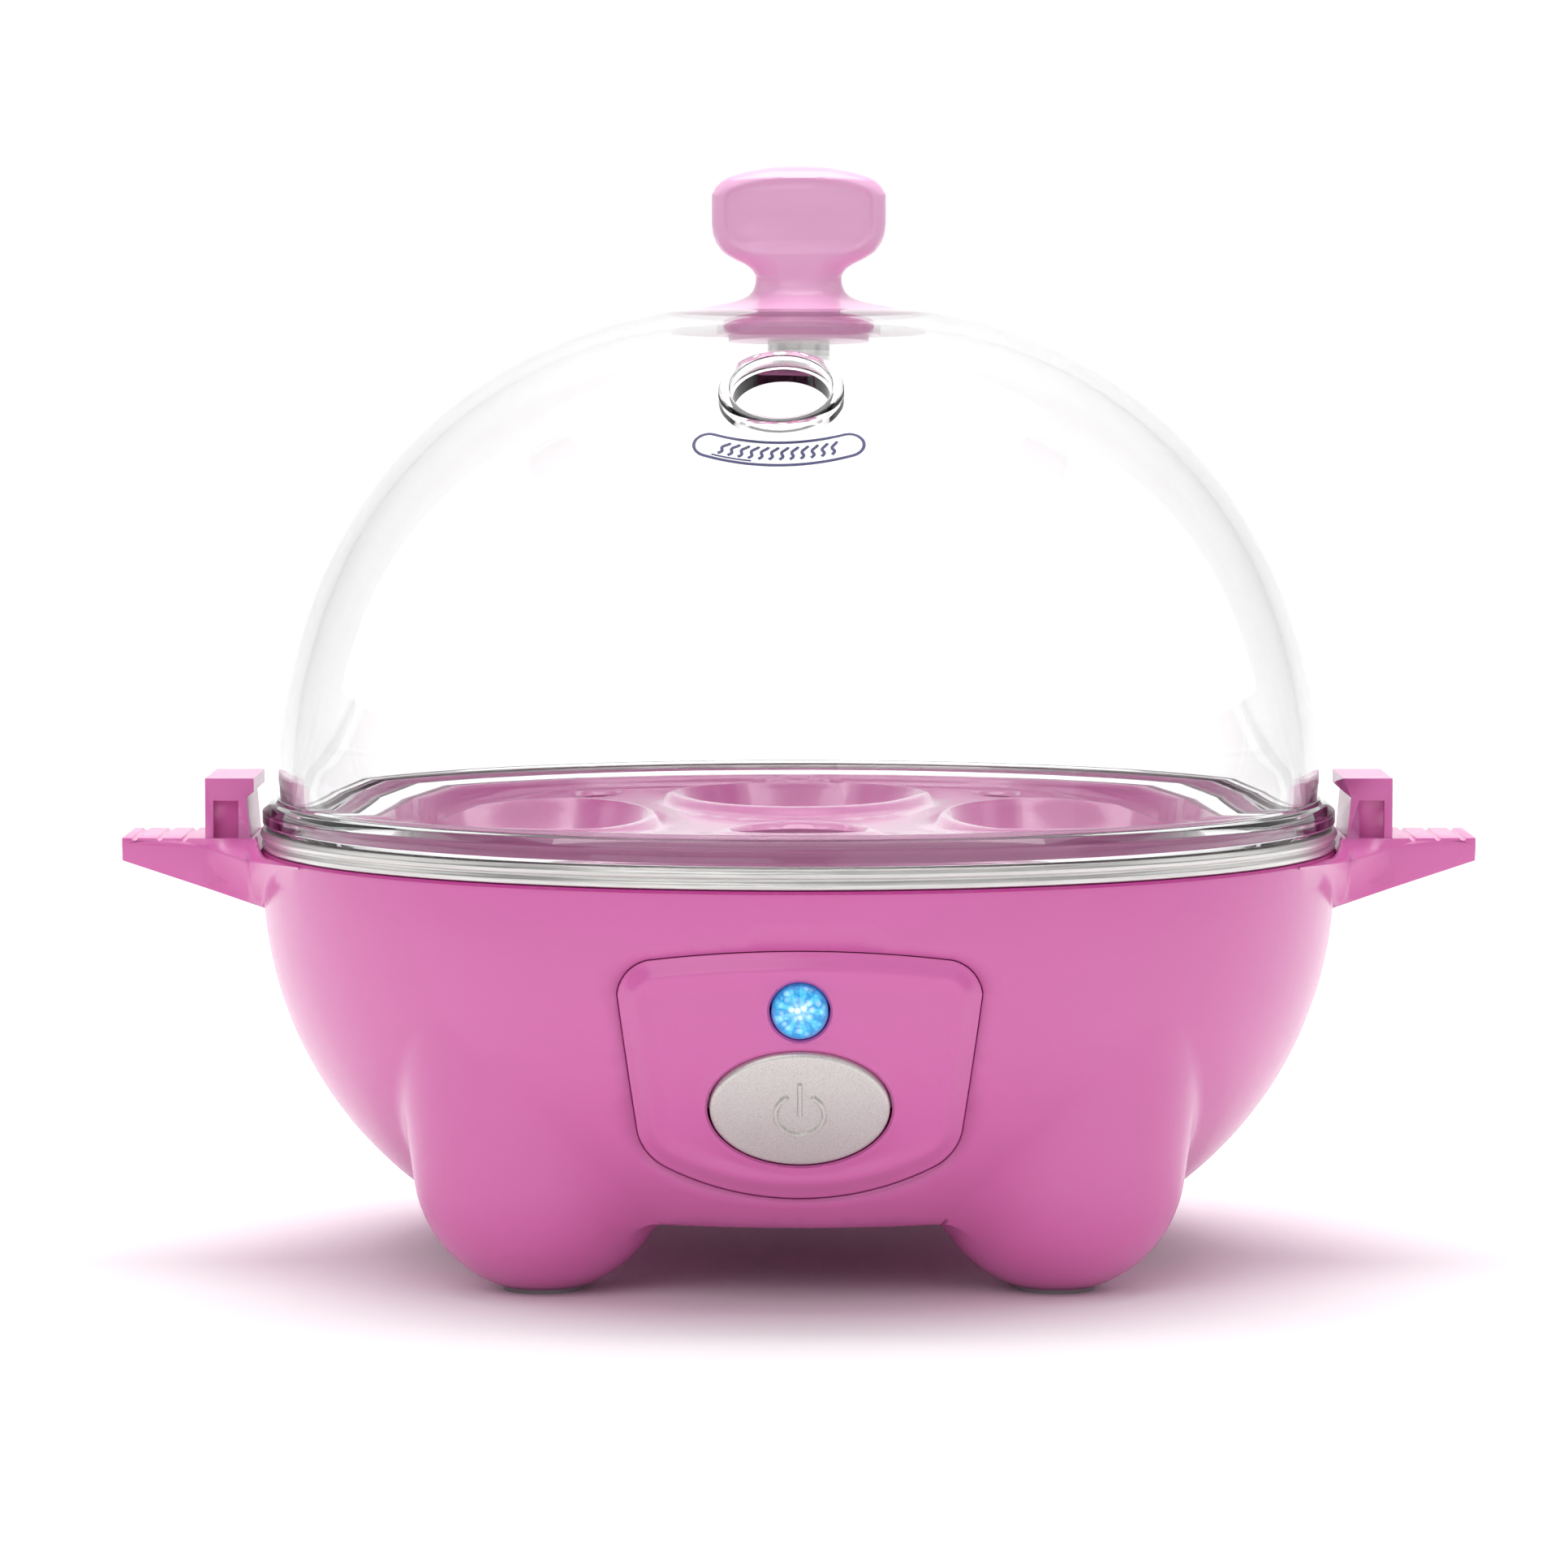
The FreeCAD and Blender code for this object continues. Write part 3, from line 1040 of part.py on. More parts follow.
# ---------------------------------------------------------------- check and write
NODES = {
    "outer_housing": outer_housing, "control_panel": control_panel,
    "indicator_lens": indicator_lens, "indicator_lamp": indicator_lamp,
    "lamp_grommet": lamp_grommet, "power_button": power_button,
    "switch_plunger": switch_plunger, "button_spring": spring_sweep,
    "switch_bracket": switch_bracket, "push_switch": push_switch,
    "switch_screws": switch_screws, "heating_plate": heating_plate,
    "plate_gasket": plate_gasket, "heat_spreader": heat_spreader,
    "heating_element": heating_element, "thermostat": thermostat,
    "thermostat_screws": thermostat_screws, "thermal_fuse": thermal_fuse,
    "fuse_clip": fuse_clip, "plate_nuts": plate_nuts, "plate_screws": plate_screws,
    "bottom_cover": bottom_cover, "cover_screws": cover_screws,
    "circuit_board": circuit_board, "board_screws": board_screws, "buzzer": buzzer,
    "terminal_block": terminal_block, "cord_gland": cord_gland,
    "mains_wires": mains_wires, "heater_wires": heater_wires,
    "switch_wires": switch_wires, "lamp_wires": lamp_wires,
    "egg_tray": egg_tray, "dome_lid": dome_lid, "lid_knob": lid_knob,
    "knob_washer": knob_washer, "knob_screw": knob_screw,
}
NODES.update({f"foot_pad_{corner}": pad for corner, pad in foot_pads.items()})

doc.recompute()
failed = [thing.Name for thing in doc.Objects
          if "Invalid" in thing.State or "Error" in thing.State]
if failed:
    raise RuntimeError(f"failed objects: {failed}")
for node, thing in NODES.items():
    thing.Label = node
    shape = thing.Shape
    if shape.isNull() or not shape.isValid() or not shape.Solids:
        raise RuntimeError(f"{node} is not a valid solid")
    print(f"{node:24s} solids {len(shape.Solids)} volume {shape.Volume:10.1f}")
    shape.exportStep(f"parts/{node}.step")
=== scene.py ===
"""
Finished look of a six-egg steam cooker: a pink bowl-shaped base on four flared legs, a
stainless water pan, a lift-out egg tray and a clear dome with a knob.

Sizes are millimetres in the formulas and metres in the sidebar. +Z is up, the front is at
-Y, the dome's axis is Z and the table is z = 0.
"""

import json
import math

import bmesh
import bpy
import numpy as np
from bpy.props import FloatProperty, FloatVectorProperty, IntProperty, PointerProperty
from mathutils import Matrix, Vector
from mathutils.geometry import delaunay_2d_cdt


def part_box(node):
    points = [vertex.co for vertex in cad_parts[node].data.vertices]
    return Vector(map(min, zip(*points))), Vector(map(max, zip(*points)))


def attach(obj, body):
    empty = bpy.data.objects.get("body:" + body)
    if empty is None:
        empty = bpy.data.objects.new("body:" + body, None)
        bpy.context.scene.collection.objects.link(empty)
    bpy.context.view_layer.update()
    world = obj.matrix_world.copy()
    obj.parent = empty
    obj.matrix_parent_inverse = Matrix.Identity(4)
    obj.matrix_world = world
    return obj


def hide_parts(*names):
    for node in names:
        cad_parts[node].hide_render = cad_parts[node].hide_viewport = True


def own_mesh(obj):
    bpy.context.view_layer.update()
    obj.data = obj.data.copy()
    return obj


bl_info = {
    "name": "Egg Cooker Finish",
    "version": (1, 0, 0),
    "blender": (4, 5, 0),
    "location": "3D View > Sidebar > Egg Cooker",
    "description": "Builds the finished pieces and the stage of a steam egg cooker",
    "category": "Object",
}

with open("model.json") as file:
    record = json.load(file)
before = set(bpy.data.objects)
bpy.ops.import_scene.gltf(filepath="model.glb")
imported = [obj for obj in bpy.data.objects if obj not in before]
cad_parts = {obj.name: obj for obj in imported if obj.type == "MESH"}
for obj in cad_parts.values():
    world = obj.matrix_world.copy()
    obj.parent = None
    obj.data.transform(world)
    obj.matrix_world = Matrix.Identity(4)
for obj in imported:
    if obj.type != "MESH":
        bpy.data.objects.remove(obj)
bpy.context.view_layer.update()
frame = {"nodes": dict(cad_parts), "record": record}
MM = 0.001


# ------------------------------------------------------------------ sizes and colours
def length(name, description, millimetres):
    """A length setting whose default is given in millimetres."""
    return FloatProperty(name=name, description=description, default=millimetres * MM,
                         min=0.0, unit="LENGTH", precision=5)


def colour(name, description, value):
    """A colour setting in linear light."""
    return FloatVectorProperty(name=name, description=description, default=value,
                               size=3, min=0.0, max=1.0, subtype="COLOR")


class CookerColours(bpy.types.PropertyGroup):
    """Colours of the finishes, as linear light."""
    body: colour("Body", "Pink of the housing and panel", (0.69, 0.145, 0.435))
    # The knob's pink is paler than the body's: partly its own colour, partly painted light for the
    # brighter light that falls on the top of the cooker.
    handle: colour("Knob", "Paler pink of the knob", (0.88, 0.460, 0.710))
    tray: colour("Tray", "Pink of the egg tray", (0.76, 0.200, 0.500))
    steel: colour("Steel", "Brushed stainless steel", (0.66, 0.65, 0.635))
    silver: colour("Button", "Satin silver of the button", (0.68, 0.655, 0.635))
    lamp: colour("Lamp", "Blue of the indicator lens", (0.010, 0.36, 0.80))
    ink: colour("Ink", "Dark blue of the steam mark", (0.022, 0.022, 0.11))


class PanelSizes(bpy.types.PropertyGroup):
    """Sizes of the control panel, button and lens."""
    proud: length("Panel height", "Height of the panel's ridge above the bowl", 1.22)
    dish: length("Panel dish", "How far the panel's middle lies below its ridge", 0.55)
    bevel: length("Panel bevel", "Width of the panel's sloping edge", 2.3)
    lip: length("Button lip", "Height of the raised lip round the button", 0.22)
    emboss: length("Symbol height", "Height of the symbol on the button", 0.5)
    stroke: length("Symbol stroke", "Width of the symbol's line", 0.52)
    ring: length("Symbol ring", "Radius of the symbol's ring", 3.1)


class LidSizes(bpy.types.PropertyGroup):
    """Sizes of the dome, its mark and its knob."""
    wall: length("Dome wall", "Thickness of the clear dome", 2.0)
    mark_line: length("Mark line", "Width of the printed outline", 0.42)
    mark_half: length("Mark height", "Half height of the printed outline", 1.95)
    dish: length("Knob dish", "Depth of the thumb dishes in the knob", 0.75)
    steps: IntProperty(name="Dome steps", description="Steps round the dome", default=192,
                       min=48, max=360)


class TraySizes(bpy.types.PropertyGroup):
    """Sizes of the egg tray and of the lips round its seats."""
    seats: IntProperty(name="Egg seats", description="Seats round the tray", default=6,
                       min=3, max=8)
    mouth: length("Seat mouth", "Radius of a seat at the deck", 17.6)
    foot: length("Seat foot", "Radius of the hole at the foot of a seat", 11.0)
    pitch: length("Seat pitch", "Radius of the circle of seats", 44.5)
    lip: length("Seat lip", "Thickness of the rounded lip of a seat", 0.9)


class CookerSettings(bpy.types.PropertyGroup):
    """All settings of the egg cooker."""
    colours: PointerProperty(type=CookerColours)
    panel: PointerProperty(type=PanelSizes)
    lid: PointerProperty(type=LidSizes)
    tray: PointerProperty(type=TraySizes)


def settings():
    """The sidebar's values."""
    return bpy.context.scene.egg_cooker


# ------------------------------------------------------------------ shared shapes
BOWL_ARC, BOWL_OFFSET, BOWL_HEIGHT = 52.0, 20.9, 51.5
BUTTON_TILT, LAMP_TILT = math.radians(27.9), math.radians(12.4)
CROWN_ARC, CROWN_OFFSET, CROWN_HEIGHT = 60.6, 9.195, 68.066
VENT_LEAN, VENT_TURN = math.radians(35.8), math.radians(3.0)


def bowl_depth(x, z, height=0.0):
    """Y of the front of the bowl's surface, raised by height, at a place seen from the front."""
    below = np.minimum(z - BOWL_HEIGHT, 0.0)
    radius = BOWL_OFFSET + np.sqrt((BOWL_ARC + height) ** 2 - below ** 2)
    return -np.sqrt(radius ** 2 - x ** 2)


def bowl_frame(tilt):
    """Across, up and out directions, and the bowl's surface point, on a line leaning by tilt."""
    across = np.array([1.0, 0.0, 0.0])
    up = np.array([0.0, -math.sin(tilt), math.cos(tilt)])
    out = np.array([0.0, -math.cos(tilt), -math.sin(tilt)])
    start = np.array([0.0, -BOWL_OFFSET, BOWL_HEIGHT]) + BOWL_ARC * out
    return across, up, out, start


def onto_line(tilt, u, v, height):
    """Places given across, up and out from the bowl's surface on a leaning line."""
    across, up, out, start = bowl_frame(tilt)
    u, v, height = np.broadcast_arrays(np.asarray(u, float), v, height)
    return (start + u[..., None] * across + v[..., None] * up + height[..., None] * out)


def hole_in_front(tilt, wide, high, height, count=120):
    """Front view of where an oval bar on a leaning line meets the raised bowl."""
    turn = np.linspace(0, 2 * math.pi, count, endpoint=False)
    u, v = wide * np.cos(turn), high * np.sin(turn)
    low, top = np.full(count, -12.0), np.full(count, 12.0)
    for _ in range(50):
        middle = (low + top) / 2
        place = onto_line(tilt, u, v, middle)
        outside = place[:, 1] < bowl_depth(place[:, 0], place[:, 2], height)
        top = np.where(outside, middle, top)
        low = np.where(outside, low, middle)
    place = onto_line(tilt, u, v, (low + top) / 2)
    return place[:, [0, 2]]


def smooth(value, start, end):
    """0 before start, 1 after end and an even curve between."""
    part = np.clip((np.asarray(value, float) - start) / (end - start), 0, 1)
    return part * part * (3 - 2 * part)


def trace(corners, step=0.7):
    """
    A closed outline through (x, y) or (x, y, radius) corners: a radius makes the side that
    arrives at the corner an arc, turning left with a plus and right with a minus.
    """
    places = []
    for index, corner in enumerate(corners):
        start = np.array(corners[index - 1][:2], float)
        end = np.array(corner[:2], float)
        chord = end - start
        span = float(np.hypot(*chord))
        count = max(1, round(span / step))
        if len(corner) == 2:
            places += [start + chord * i / count for i in range(1, count + 1)]
            continue
        radius = abs(corner[2])
        side = math.copysign(1, corner[2])
        normal = np.array([-chord[1], chord[0]]) / span * side
        centre = start + chord / 2 + normal * math.sqrt(max(radius ** 2 - span ** 2 / 4, 0))
        first = math.atan2(*(start - centre)[::-1])
        sweep = side * 2 * math.asin(min(1, span / 2 / radius))
        count = max(3, round(abs(sweep) * radius / step))
        places += [centre + radius * np.array([math.cos(first + sweep * i / count),
                                               math.sin(first + sweep * i / count)])
                   for i in range(1, count + 1)]
    return np.array(places)


def soften(corners, steps=5):
    """An open or closed profile whose (x, y, radius) corners are rounded off."""
    places = []
    for index, corner in enumerate(corners):
        here = np.array(corner[:2], float)
        if len(corner) == 2 or corner[2] == 0:
            places.append(here)
            continue
        before = np.array(corners[index - 1][:2], float) - here
        after = np.array(corners[(index + 1) % len(corners)][:2], float) - here
        back, ahead = (d / np.hypot(*d) for d in (before, after))
        half = math.acos(np.clip(back @ ahead, -1, 1)) / 2
        reach = min(corner[2] / math.tan(half), 0.48 * np.hypot(*before),
                    0.48 * np.hypot(*after))
        radius = reach * math.tan(half)
        middle = (back + ahead) / np.hypot(*(back + ahead)) * radius / math.sin(half)
        centre = here + middle
        first = here + back * reach - centre
        last = here + ahead * reach - centre
        angle = math.atan2(*first[::-1])
        turn = math.atan2(first[0] * last[1] - first[1] * last[0], first @ last)
        places += [centre + radius * np.array([math.cos(angle + turn * i / steps),
                                               math.sin(angle + turn * i / steps)])
                   for i in range(steps + 1)]
    return np.array(places)


def circle(radius, centre=(0.0, 0.0), count=48):
    """A closed counter-clockwise ring of places."""
    turn = np.linspace(0, 2 * math.pi, count, endpoint=False)
    return np.column_stack([centre[0] + radius * np.cos(turn),
                            centre[1] + radius * np.sin(turn)])


def gap_to(places, outline):
    """Distance of each place from a closed outline."""
    start = outline
    run = np.roll(outline, -1, axis=0) - start
    best = np.full(len(places), np.inf)
    for origin, step in zip(start, run):
        away = places - origin
        along = np.clip(away @ step / max(step @ step, 1e-12), 0, 1)
        best = np.minimum(best, np.hypot(*(away - along[:, None] * step).T))
    return best


def within(places, outline):
    """True for each place inside a closed outline."""
    inside = np.zeros(len(places), bool)
    x, y = places.T
    for (ax, ay), (bx, by) in zip(outline, np.roll(outline, -1, axis=0)):
        if ay != by:
            crosses = (ay > y) != (by > y)
            inside ^= crosses & (x < (bx - ax) * (y - ay) / (by - ay) + ax)
    return inside


def moved_in(outline, distance):
    """A counter-clockwise outline moved inwards, or outwards by a negative distance."""
    run = np.roll(outline, -1, axis=0) - np.roll(outline, 1, axis=0)
    run /= np.hypot(*run.T)[:, None]
    return outline + distance * np.column_stack([-run[:, 1], run[:, 0]])


def plate(outline, holes, rings, spacing, top, under, extra=None):
    """
    A closed plate over the region inside an outline and outside its holes. rings are lines
    of points that the surface follows, and top and under turn flat places into solid ones.
    """
    loops = [outline] + list(holes)
    fixed = np.vstack(loops + [r for r in rings if len(r)])
    low, high = outline.min(axis=0), outline.max(axis=0)
    across = np.arange(low[0] + spacing / 2, high[0], spacing)
    up = np.arange(low[1] + spacing / 2, high[1], spacing)
    filler = np.array([(x + spacing / 2 * (row % 2), y) for row, y in enumerate(up)
                       for x in across])
    near = np.full(len(filler), np.inf)
    for chunk in np.array_split(fixed, max(1, len(fixed) // 400)):
        gaps = np.hypot(filler[:, None, 0] - chunk[None, :, 0],
                        filler[:, None, 1] - chunk[None, :, 1]).min(axis=1)
        near = np.minimum(near, gaps)
    filler = filler[near > 0.62 * spacing]
    if extra is not None:
        filler = np.vstack([filler, extra]) if len(filler) else extra
    keep = within(filler, outline)
    for hole in holes:
        keep &= ~within(filler, hole)
    points = np.vstack([fixed, filler[keep]])
    edges, start = [], 0
    for loop in loops:
        edges += [(start + i, start + (i + 1) % len(loop)) for i in range(len(loop))]
        start += len(loop)
    found = delaunay_2d_cdt([Vector(p) for p in points.tolist()], edges, [], 0, 1e-6)
    flat = np.array([list(p) for p in found[0]])
    faces = np.array([list(f) for f in found[2] if len(f) == 3])
    middles = flat[faces].mean(axis=1)
    keep = within(middles, outline)
    for hole in holes:
        keep &= ~within(middles, hole)
    faces = faces[keep]
    turned = np.cross(flat[faces[:, 1]] - flat[faces[:, 0]], flat[faces[:, 2]] - flat[faces[:, 0]])
    faces[turned < 0] = faces[turned < 0][:, ::-1]
    count = len(flat)
    verts = np.vstack([top(flat[:, 0], flat[:, 1]), under(flat[:, 0], flat[:, 1])])
    sides = {(a, b) for f in faces.tolist() for a, b in zip(f, f[1:] + f[:1])}
    walls = [(b, a, a + count, b + count) for a, b in sides if (b, a) not in sides]
    solid = faces.tolist() + [[c + count, b + count, a + count] for a, b, c in faces.tolist()]
    return verts, solid + walls


def turned_body(profile, steps=96):
    """A body turned about Z from a closed (radius, height) profile."""
    verts, faces, rows = [], [], []
    for radius, height in profile:
        if radius < 1e-6:
            rows.append([len(verts)] * steps)
            verts.append((0.0, 0.0, height))
            continue
        rows.append(list(range(len(verts), len(verts) + steps)))
        verts += [(radius * math.cos(2 * math.pi * i / steps),
                   radius * math.sin(2 * math.pi * i / steps), height) for i in range(steps)]
    for row, following in zip(rows, rows[1:] + rows[:1]):
        for i in range(steps):
            j = (i + 1) % steps
            face = list(dict.fromkeys([row[i], row[j], following[j], following[i]]))
            if len(face) > 2:
                faces.append(face)
    return np.array(verts), faces


def joined(*bodies):
    """Several bodies as one list of vertices and faces."""
    verts, faces = [], []
    for some_verts, some_faces in bodies:
        faces += [[index + len(verts) for index in face] for face in some_faces]
        verts += [list(v) for v in some_verts]
    return np.array(verts), faces


def facing_out(mesh):
    """Merges doubles and points the faces outwards."""
    work = bmesh.new()
    work.from_mesh(mesh)
    bmesh.ops.remove_doubles(work, verts=work.verts, dist=1e-7)
    loose = [v for v in work.verts if not v.link_faces]
    bmesh.ops.delete(work, geom=loose, context="VERTS")
    bmesh.ops.recalc_face_normals(work, faces=work.faces)
    work.to_mesh(mesh)
    work.free()


def make_piece(name, verts, faces, crease=32):
    """A mesh object in metres from a body in millimetres, shaded smooth up to a crease."""
    mesh = bpy.data.meshes.new(name)
    mesh.from_pydata((np.asarray(verts) * MM).tolist(), [], [list(f) for f in faces])
    facing_out(mesh)
    mesh.shade_smooth()
    mesh.set_sharp_from_angle(angle=math.radians(crease))
    piece = bpy.data.objects.new(name, mesh)
    bpy.context.scene.collection.objects.link(piece)
    return piece


def settle(piece, body, finish, slot, *nodes):
    """Gives a finished piece its finish and its body, and hides the CAD nodes it stands for."""
    piece.data.materials.clear()
    piece.data.materials.append(finish)
    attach(piece, body)
    if nodes:
        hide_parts(*nodes)
    return piece


def as_plain(piece):
    """Turns a piece with modifiers into a plain mesh."""
    graph = bpy.context.evaluated_depsgraph_get()
    graph.update()
    mesh = bpy.data.meshes.new_from_object(piece.evaluated_get(graph))
    piece.modifiers.clear()
    old = piece.data
    piece.data = mesh
    bpy.data.meshes.remove(old)
    return piece


def merged_copy(node, name):
    """A copy of a CAD node with its loose triangles joined."""
    mesh = frame["nodes"][node].data.copy()
    mesh.name = name
    piece = bpy.data.objects.new(name, mesh)
    bpy.context.scene.collection.objects.link(piece)
    work = bmesh.new()
    work.from_mesh(mesh)
    bmesh.ops.remove_doubles(work, verts=work.verts, dist=2e-6)
    bmesh.ops.dissolve_degenerate(work, edges=work.edges, dist=1e-6)
    work.to_mesh(mesh)
    work.free()
    return piece


def cut_by(piece, operation, verts, faces):
    """Joins a body to a piece, or cuts it away."""
    tool = make_piece("tool", verts, faces)
    rule = piece.modifiers.new("shape", "BOOLEAN")
    rule.operation = operation
    rule.solver = "EXACT"
    rule.object = tool
    as_plain(piece)
    bpy.data.objects.remove(tool)
    return piece


# ------------------------------------------------------------------ finishes
class Flow:
    """A shader socket that takes part in sums."""

    def __init__(self, finish, socket):
        self.finish, self.socket = finish, socket

    def _sum(self, operation, *others):
        return self.finish.node("ShaderNodeMath", {"operation": operation},
                                {i: v for i, v in enumerate(others)})

    def __add__(self, other):
        return self._sum("ADD", self, other)

    def __sub__(self, other):
        return self._sum("SUBTRACT", self, other)

    def __rsub__(self, other):
        return self._sum("SUBTRACT", other, self)

    def __mul__(self, other):
        return self._sum("MULTIPLY", self, other)

    def __pow__(self, other):
        return self._sum("POWER", self, other)

    __radd__, __rmul__ = __add__, __mul__

    def sine(self):
        return self._sum("SINE", self)

    def angle_to(self, other):
        return self._sum("ARCTAN2", self, other)

    def between(self, low, high):
        """0 at low and 1 at high, held within those ends."""
        return self.finish.node("ShaderNodeMapRange", {"interpolation_type": "SMOOTHSTEP"},
                                {"Value": self, "From Min": low, "From Max": high})


class Finish:
    """A material whose shader is Principled, with short ways to add nodes."""

    def __init__(self, name, base, rough, **fixed):
        self.material = bpy.data.materials.new(name)
        self.material.use_nodes = True
        self.material.diffuse_color = (*base, 1.0)
        self.tree = self.material.node_tree
        self.shader = self.tree.nodes["Principled BSDF"]
        self.shader.inputs["Base Color"].default_value = (*base, 1.0)
        self.shader.inputs["Roughness"].default_value = rough
        for socket, value in fixed.items():
            self.shader.inputs[socket.replace("_", " ")].default_value = value
        self.places = self.node("ShaderNodeTexCoord", {}, {}, "Object")

    def node(self, kind, choices, values, output=0):
        """Adds a node, sets its choices, then its sockets, and returns one output."""
        added = self.tree.nodes.new(kind)
        for choice, value in choices.items():
            setattr(added, choice, value)
        for socket, value in values.items():
            self.feed(added.inputs[socket], value)
        return Flow(self, added.outputs[output])

    def feed(self, socket, value):
        """Links a flow to a socket, or sets its constant."""
        if isinstance(value, Flow):
            self.tree.links.new(value.socket, socket)
        elif socket.type == "RGBA" and len(value) == 3:
            socket.default_value = (*value, 1.0)
        else:
            socket.default_value = value

    def set(self, socket, value):
        """Feeds one input of the shader."""
        self.feed(self.shader.inputs[socket], value)

    def noise(self, scale, detail=2.0, rough=0.5, places=None):
        """A cloudy pattern from 0 to 1."""
        return self.node("ShaderNodeTexNoise", {}, {
            "Vector": places or self.places, "Scale": scale, "Detail": detail,
            "Roughness": rough})

    def cells(self, scale, feature="F1"):
        """A cell pattern, as distances to the cells' middles or edges."""
        return self.node("ShaderNodeTexVoronoi", {"feature": feature}, {
            "Vector": self.places, "Scale": scale})

    def stretched(self, scale):
        """Object places stretched by a scale on each axis."""
        return self.node("ShaderNodeMapping", {}, {"Vector": self.places, "Scale": scale})

    def axes(self):
        """The three object coordinates as numbers."""
        parts = self.node("ShaderNodeSeparateXYZ", {}, {"Vector": self.places}).socket.node
        return [Flow(self, parts.outputs[letter]) for letter in "XYZ"]

    def mix(self, share, first, second):
        """The first colour turning into the second as share goes from 0 to 1."""
        return self.node("ShaderNodeMix", {"data_type": "RGBA"},
                         {0: share, 6: first, 7: second}, 2)

    def ripple(self, height, strength, distance):
        """Feeds a height into the normal."""
        self.set("Normal", self.node("ShaderNodeBump", {}, {
            "Height": height, "Strength": strength, "Distance": distance}))


def tinted(base, factor):
    """A colour made lighter or darker by a factor."""
    return tuple(min(1.0, max(0.0, channel * factor)) for channel in base)


def moulded_finish(name, base, rough=0.27, grain=0.05):
    """Semi-gloss moulded plastic: faint flow marks, rubbed patches and a fine orange peel."""
    finish = Finish(name, base, rough, IOR=1.5, Coat_Weight=0.22, Coat_Roughness=0.12)
    flow = finish.noise(26.0, 4.0, 0.55, finish.stretched((1.0, 1.0, 2.4)))
    peel = finish.noise(700.0, 1.0, 0.4)
    rubbed = finish.noise(150.0, 5.0, 0.65)
    finish.set("Base Color", finish.mix(flow.between(0.25, 0.75), tinted(base, 0.985),
                                        tinted(base, 1.015)))
    finish.set("Roughness", rough - 0.02 + rubbed * 0.012 + peel * 0.01)
    finish.ripple(peel, grain, 0.00003)
    return finish.material


def clear_finish():
    """Polished clear plastic with hairline wiping marks, turned grey by painted shade where it is
    seen edge-on.
    """
    finish = Finish("clear_plastic", (0.998, 0.998, 1.0), 0.015, IOR=1.46,
                    Transmission_Weight=1.0)
    hair = finish.noise(300.0, 2.0, 0.5, finish.stretched((1.0, 1.0, 9.0)))
    flow = finish.noise(35.0, 2.0)
    edge_shade = finish.node("ShaderNodeLayerWeight", {}, {"Blend": 0.5}, 1)
    # Painted shade: grey where the dome is seen edge-on, partly the tint of the longer path through
    # the plastic, partly painted shade along its edges.
    finish.set("Base Color", finish.mix(edge_shade ** 4.0, (0.998, 0.998, 1.0),
                                        (0.50, 0.50, 0.51)))
    finish.set("Roughness", 0.008 + hair.between(0.55, 0.8) * 0.03)
    finish.ripple(flow, 0.06, 0.0003)
    return finish.material


def steel_finish(name, base, rough=0.3, ringed=True):
    """Brushed stainless steel, its lines running round the axis or along the sheet."""
    finish = Finish(name, base, rough, Metallic=1.0)
    x, y, z = finish.axes()
    if ringed:
        radius = (x * x + y * y) ** 0.5
        lines = finish.node("ShaderNodeCombineXYZ", {}, {
            "X": radius * 5200.0, "Y": z * 5200.0, "Z": x.angle_to(y).sine() * 9.0})
    else:
        lines = finish.stretched((900.0, 60.0, 900.0))
    brush = finish.noise(1.0, 4.0, 0.6, lines)
    cloud = finish.noise(38.0, 3.0)
    finish.set("Base Color", finish.mix(brush.between(0.3, 0.72), tinted(base, 0.86),
                                        tinted(base, 1.14)))
    finish.set("Roughness", rough - 0.07 + brush * 0.12 + cloud * 0.06)
    finish.ripple(brush, 0.18, 0.00012)
    return finish.material


def silver_finish(base):
    """Satin silver paint over plastic: fine flakes under a soft sheen."""
    finish = Finish("satin_silver", base, 0.36, Metallic=0.78, Coat_Weight=0.15,
                    Coat_Roughness=0.3)
    flakes = finish.cells(6500.0)
    cloud = finish.noise(120.0, 3.0)
    finish.set("Base Color", finish.mix(flakes.between(0.2, 0.8), tinted(base, 1.09),
                                        tinted(base, 0.9)))
    finish.set("Roughness", 0.33 + cloud * 0.06 + flakes * 0.04)
    finish.ripple(flakes, 0.08, 0.00008)
    return finish.material


